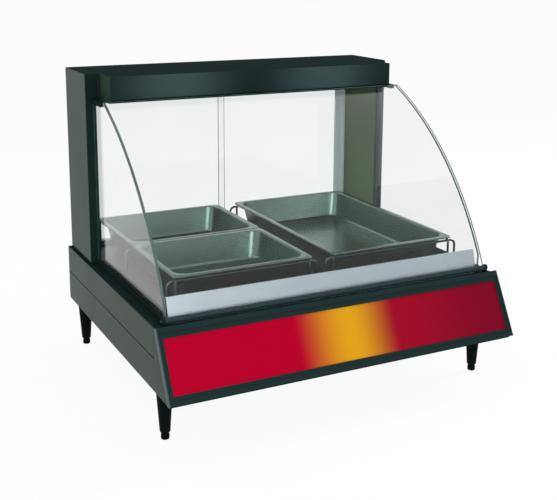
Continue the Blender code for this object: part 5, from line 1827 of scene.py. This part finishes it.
@dataclass
class PansAndRacks:
    """The wire racks and the steel pans that hang in them."""

    sheet: float = 0.0010
    wall_inset: float = 0.0130
    draft: float = 0.0120
    floor_corner: float = 0.0180
    wall_corner: float = 0.0280
    rim_corner: float = 0.0110
    floor_fillet: float = 0.009
    rim_bend: float = 0.0028
    rim_roll: float = 0.0016
    corner_steps: int = 12
    pan_crease: float = math.radians(50)
    wire: float = 0.0028
    bend: float = 0.012
    overhang: float = 0.019
    weld: float = 0.0008

    def build(self) -> None:
        """Builds the racks and pans."""
        self.rack("left_rack", True)
        self.rack("right_rack", False)
        for name in ("full_pan", "rear_half_pan", "front_half_pan"):
            self.pan(name)

    def section(self, floor: float, top: float) -> list[tuple[float, float, float]]:
        """Draws the pan's section from the floor's edge to the end of the rolled rim.

        Args:
            floor: The floor's height.
            top: The rim's height.

        Returns:
            Points as (inset from the rim's edge, height, radius of the outline's corners there).
        """
        fillet, bend, roll = self.floor_fillet, self.rim_bend, self.rim_roll
        foot = self.wall_inset + self.draft + 0.8 * fillet
        points = []
        for along, drop in arc((0.0, 0.0), fillet, -90, -11, 5):
            points.append((foot - along, floor + fillet + drop, self.floor_corner + along))
        for out, up in arc((0.0, 0.0), bend, 0, 90, 4):
            points.append((self.wall_inset - bend + out, top - bend + up, self.wall_corner + bend - out))
        for out, up in arc((0.0, 0.0), roll, 90, -90, 6):
            points.append((roll - out, top - roll + up, self.rim_corner - roll + out))
        return points

    def pan(self, node: str) -> None:
        """Draws a pan from a rounded floor up to its rolled rim, whose corners are tighter.

        Args:
            node: Its node and body.
        """
        low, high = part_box(node)
        centre, half = (low + high) / 2, (high - low) / 2
        outlines = []
        for inset, height, radius in self.section(low.z + self.sheet / 2, high.z - self.sheet / 2):
            outlines.append(PanOutline(centre, half - Vector((inset, inset, 0.0)), radius, height))
        first = outlines[0]
        pan = Shape()
        spread = Matrix.Diagonal((first.half.x, first.half.y, 1.0, 1.0))
        matrix = Matrix.Translation((centre.x, centre.y, first.height)) @ spread
        bmesh.ops.create_grid(pan.bm, x_segments=1, y_segments=1, size=1.0, matrix=matrix)
        pan.bevel(list(pan.bm.verts), first.radius, self.corner_steps, "VERTICES")
        ring = [edge for edge in pan.bm.edges if edge.is_boundary]
        for before, after in zip(outlines, outlines[1:]):
            ring = self.grow(pan, ring, before, after)
        piece = pan.publish(
            node + "_drawn",
            Slot.PAN_STEEL,
            PAN_STEEL,
            body=node,
            stands_for=[node],
            crease=self.pan_crease,
            even=False,
        )
        thicken(piece, self.sheet, 0.0)

    def grow(self, pan: Shape, ring: list[BMEdge], before: PanOutline, after: PanOutline) -> list[BMEdge]:
        """Extrudes the pan's open edge from one outline to the next.

        Args:
            pan: The pan.
            ring: Its open edge.
            before: The outline that the edge follows.
            after: The outline that it moves to.

        Returns:
            The new open edge.
        """
        grown = bmesh.ops.extrude_edge_only(pan.bm, edges=ring)["geom"]
        for vert in (item for item in grown if isinstance(item, BMVert)):
            spoke = (vert.co - before.hub(vert.co)) / before.radius
            vert.co = after.hub(vert.co) + spoke * after.radius
        return [item for item in grown if isinstance(item, BMEdge)]

    def rack(self, node: str, has_middle: bool) -> None:
        """Bends and welds a rack.

        Args:
            node: Its node.
            has_middle: Whether a third wire crosses between two pans.
        """
        low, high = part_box(node)
        wire = self.wire
        middle = (low.x + high.x) / 2
        reach = (high.x - low.x) / 2 - wire
        rail = reach - self.overhang
        rail_z = high.z - wire
        cross_z = rail_z - 2 * wire + self.weld
        rear, front = high.y - wire, low.y + wire
        rack = Shape()
        for side in Side:
            x = middle + side.value * rail
            points = [(x, rear, low.z), (x, rear, rail_z), (x, front, rail_z), (x, front, low.z)]
            rack.add(Shape.wire(points, wire, self.bend))
        rows = [rear - self.weld, front + self.weld]
        if has_middle:
            rows.append((rear + front) / 2)
        for y in rows:
            points = [
                (middle - reach, y, low.z),
                (middle - reach, y, cross_z),
                (middle + reach, y, cross_z),
                (middle + reach, y, low.z),
            ]
            rack.add(Shape.wire(points, wire, self.bend))
        rack.publish(node + "_wires", Slot.RACK_WIRE, WIRE_STEEL, stands_for=[node])


def main() -> None:
    """Builds the whole scene round the frame."""
    logging.basicConfig(level=logging.INFO, format="%(message)s")
    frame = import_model()
    pivots = {joint["name"]: Vector(joint["pos_m"]) for joint in frame["joints"] if "pos_m" in joint}
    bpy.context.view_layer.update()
    Studio().build()
    for assembly in (
        BaseCabinet(),
        SignHolder(),
        LegSet(),
        PostsAndCanopy(),
        Glazing(pivots["front_glass_tilt"]),
        RearDoors(),
        Controls(),
        PansAndRacks(),
    ):
        assembly.build()


if __name__ == "__main__":
    main()
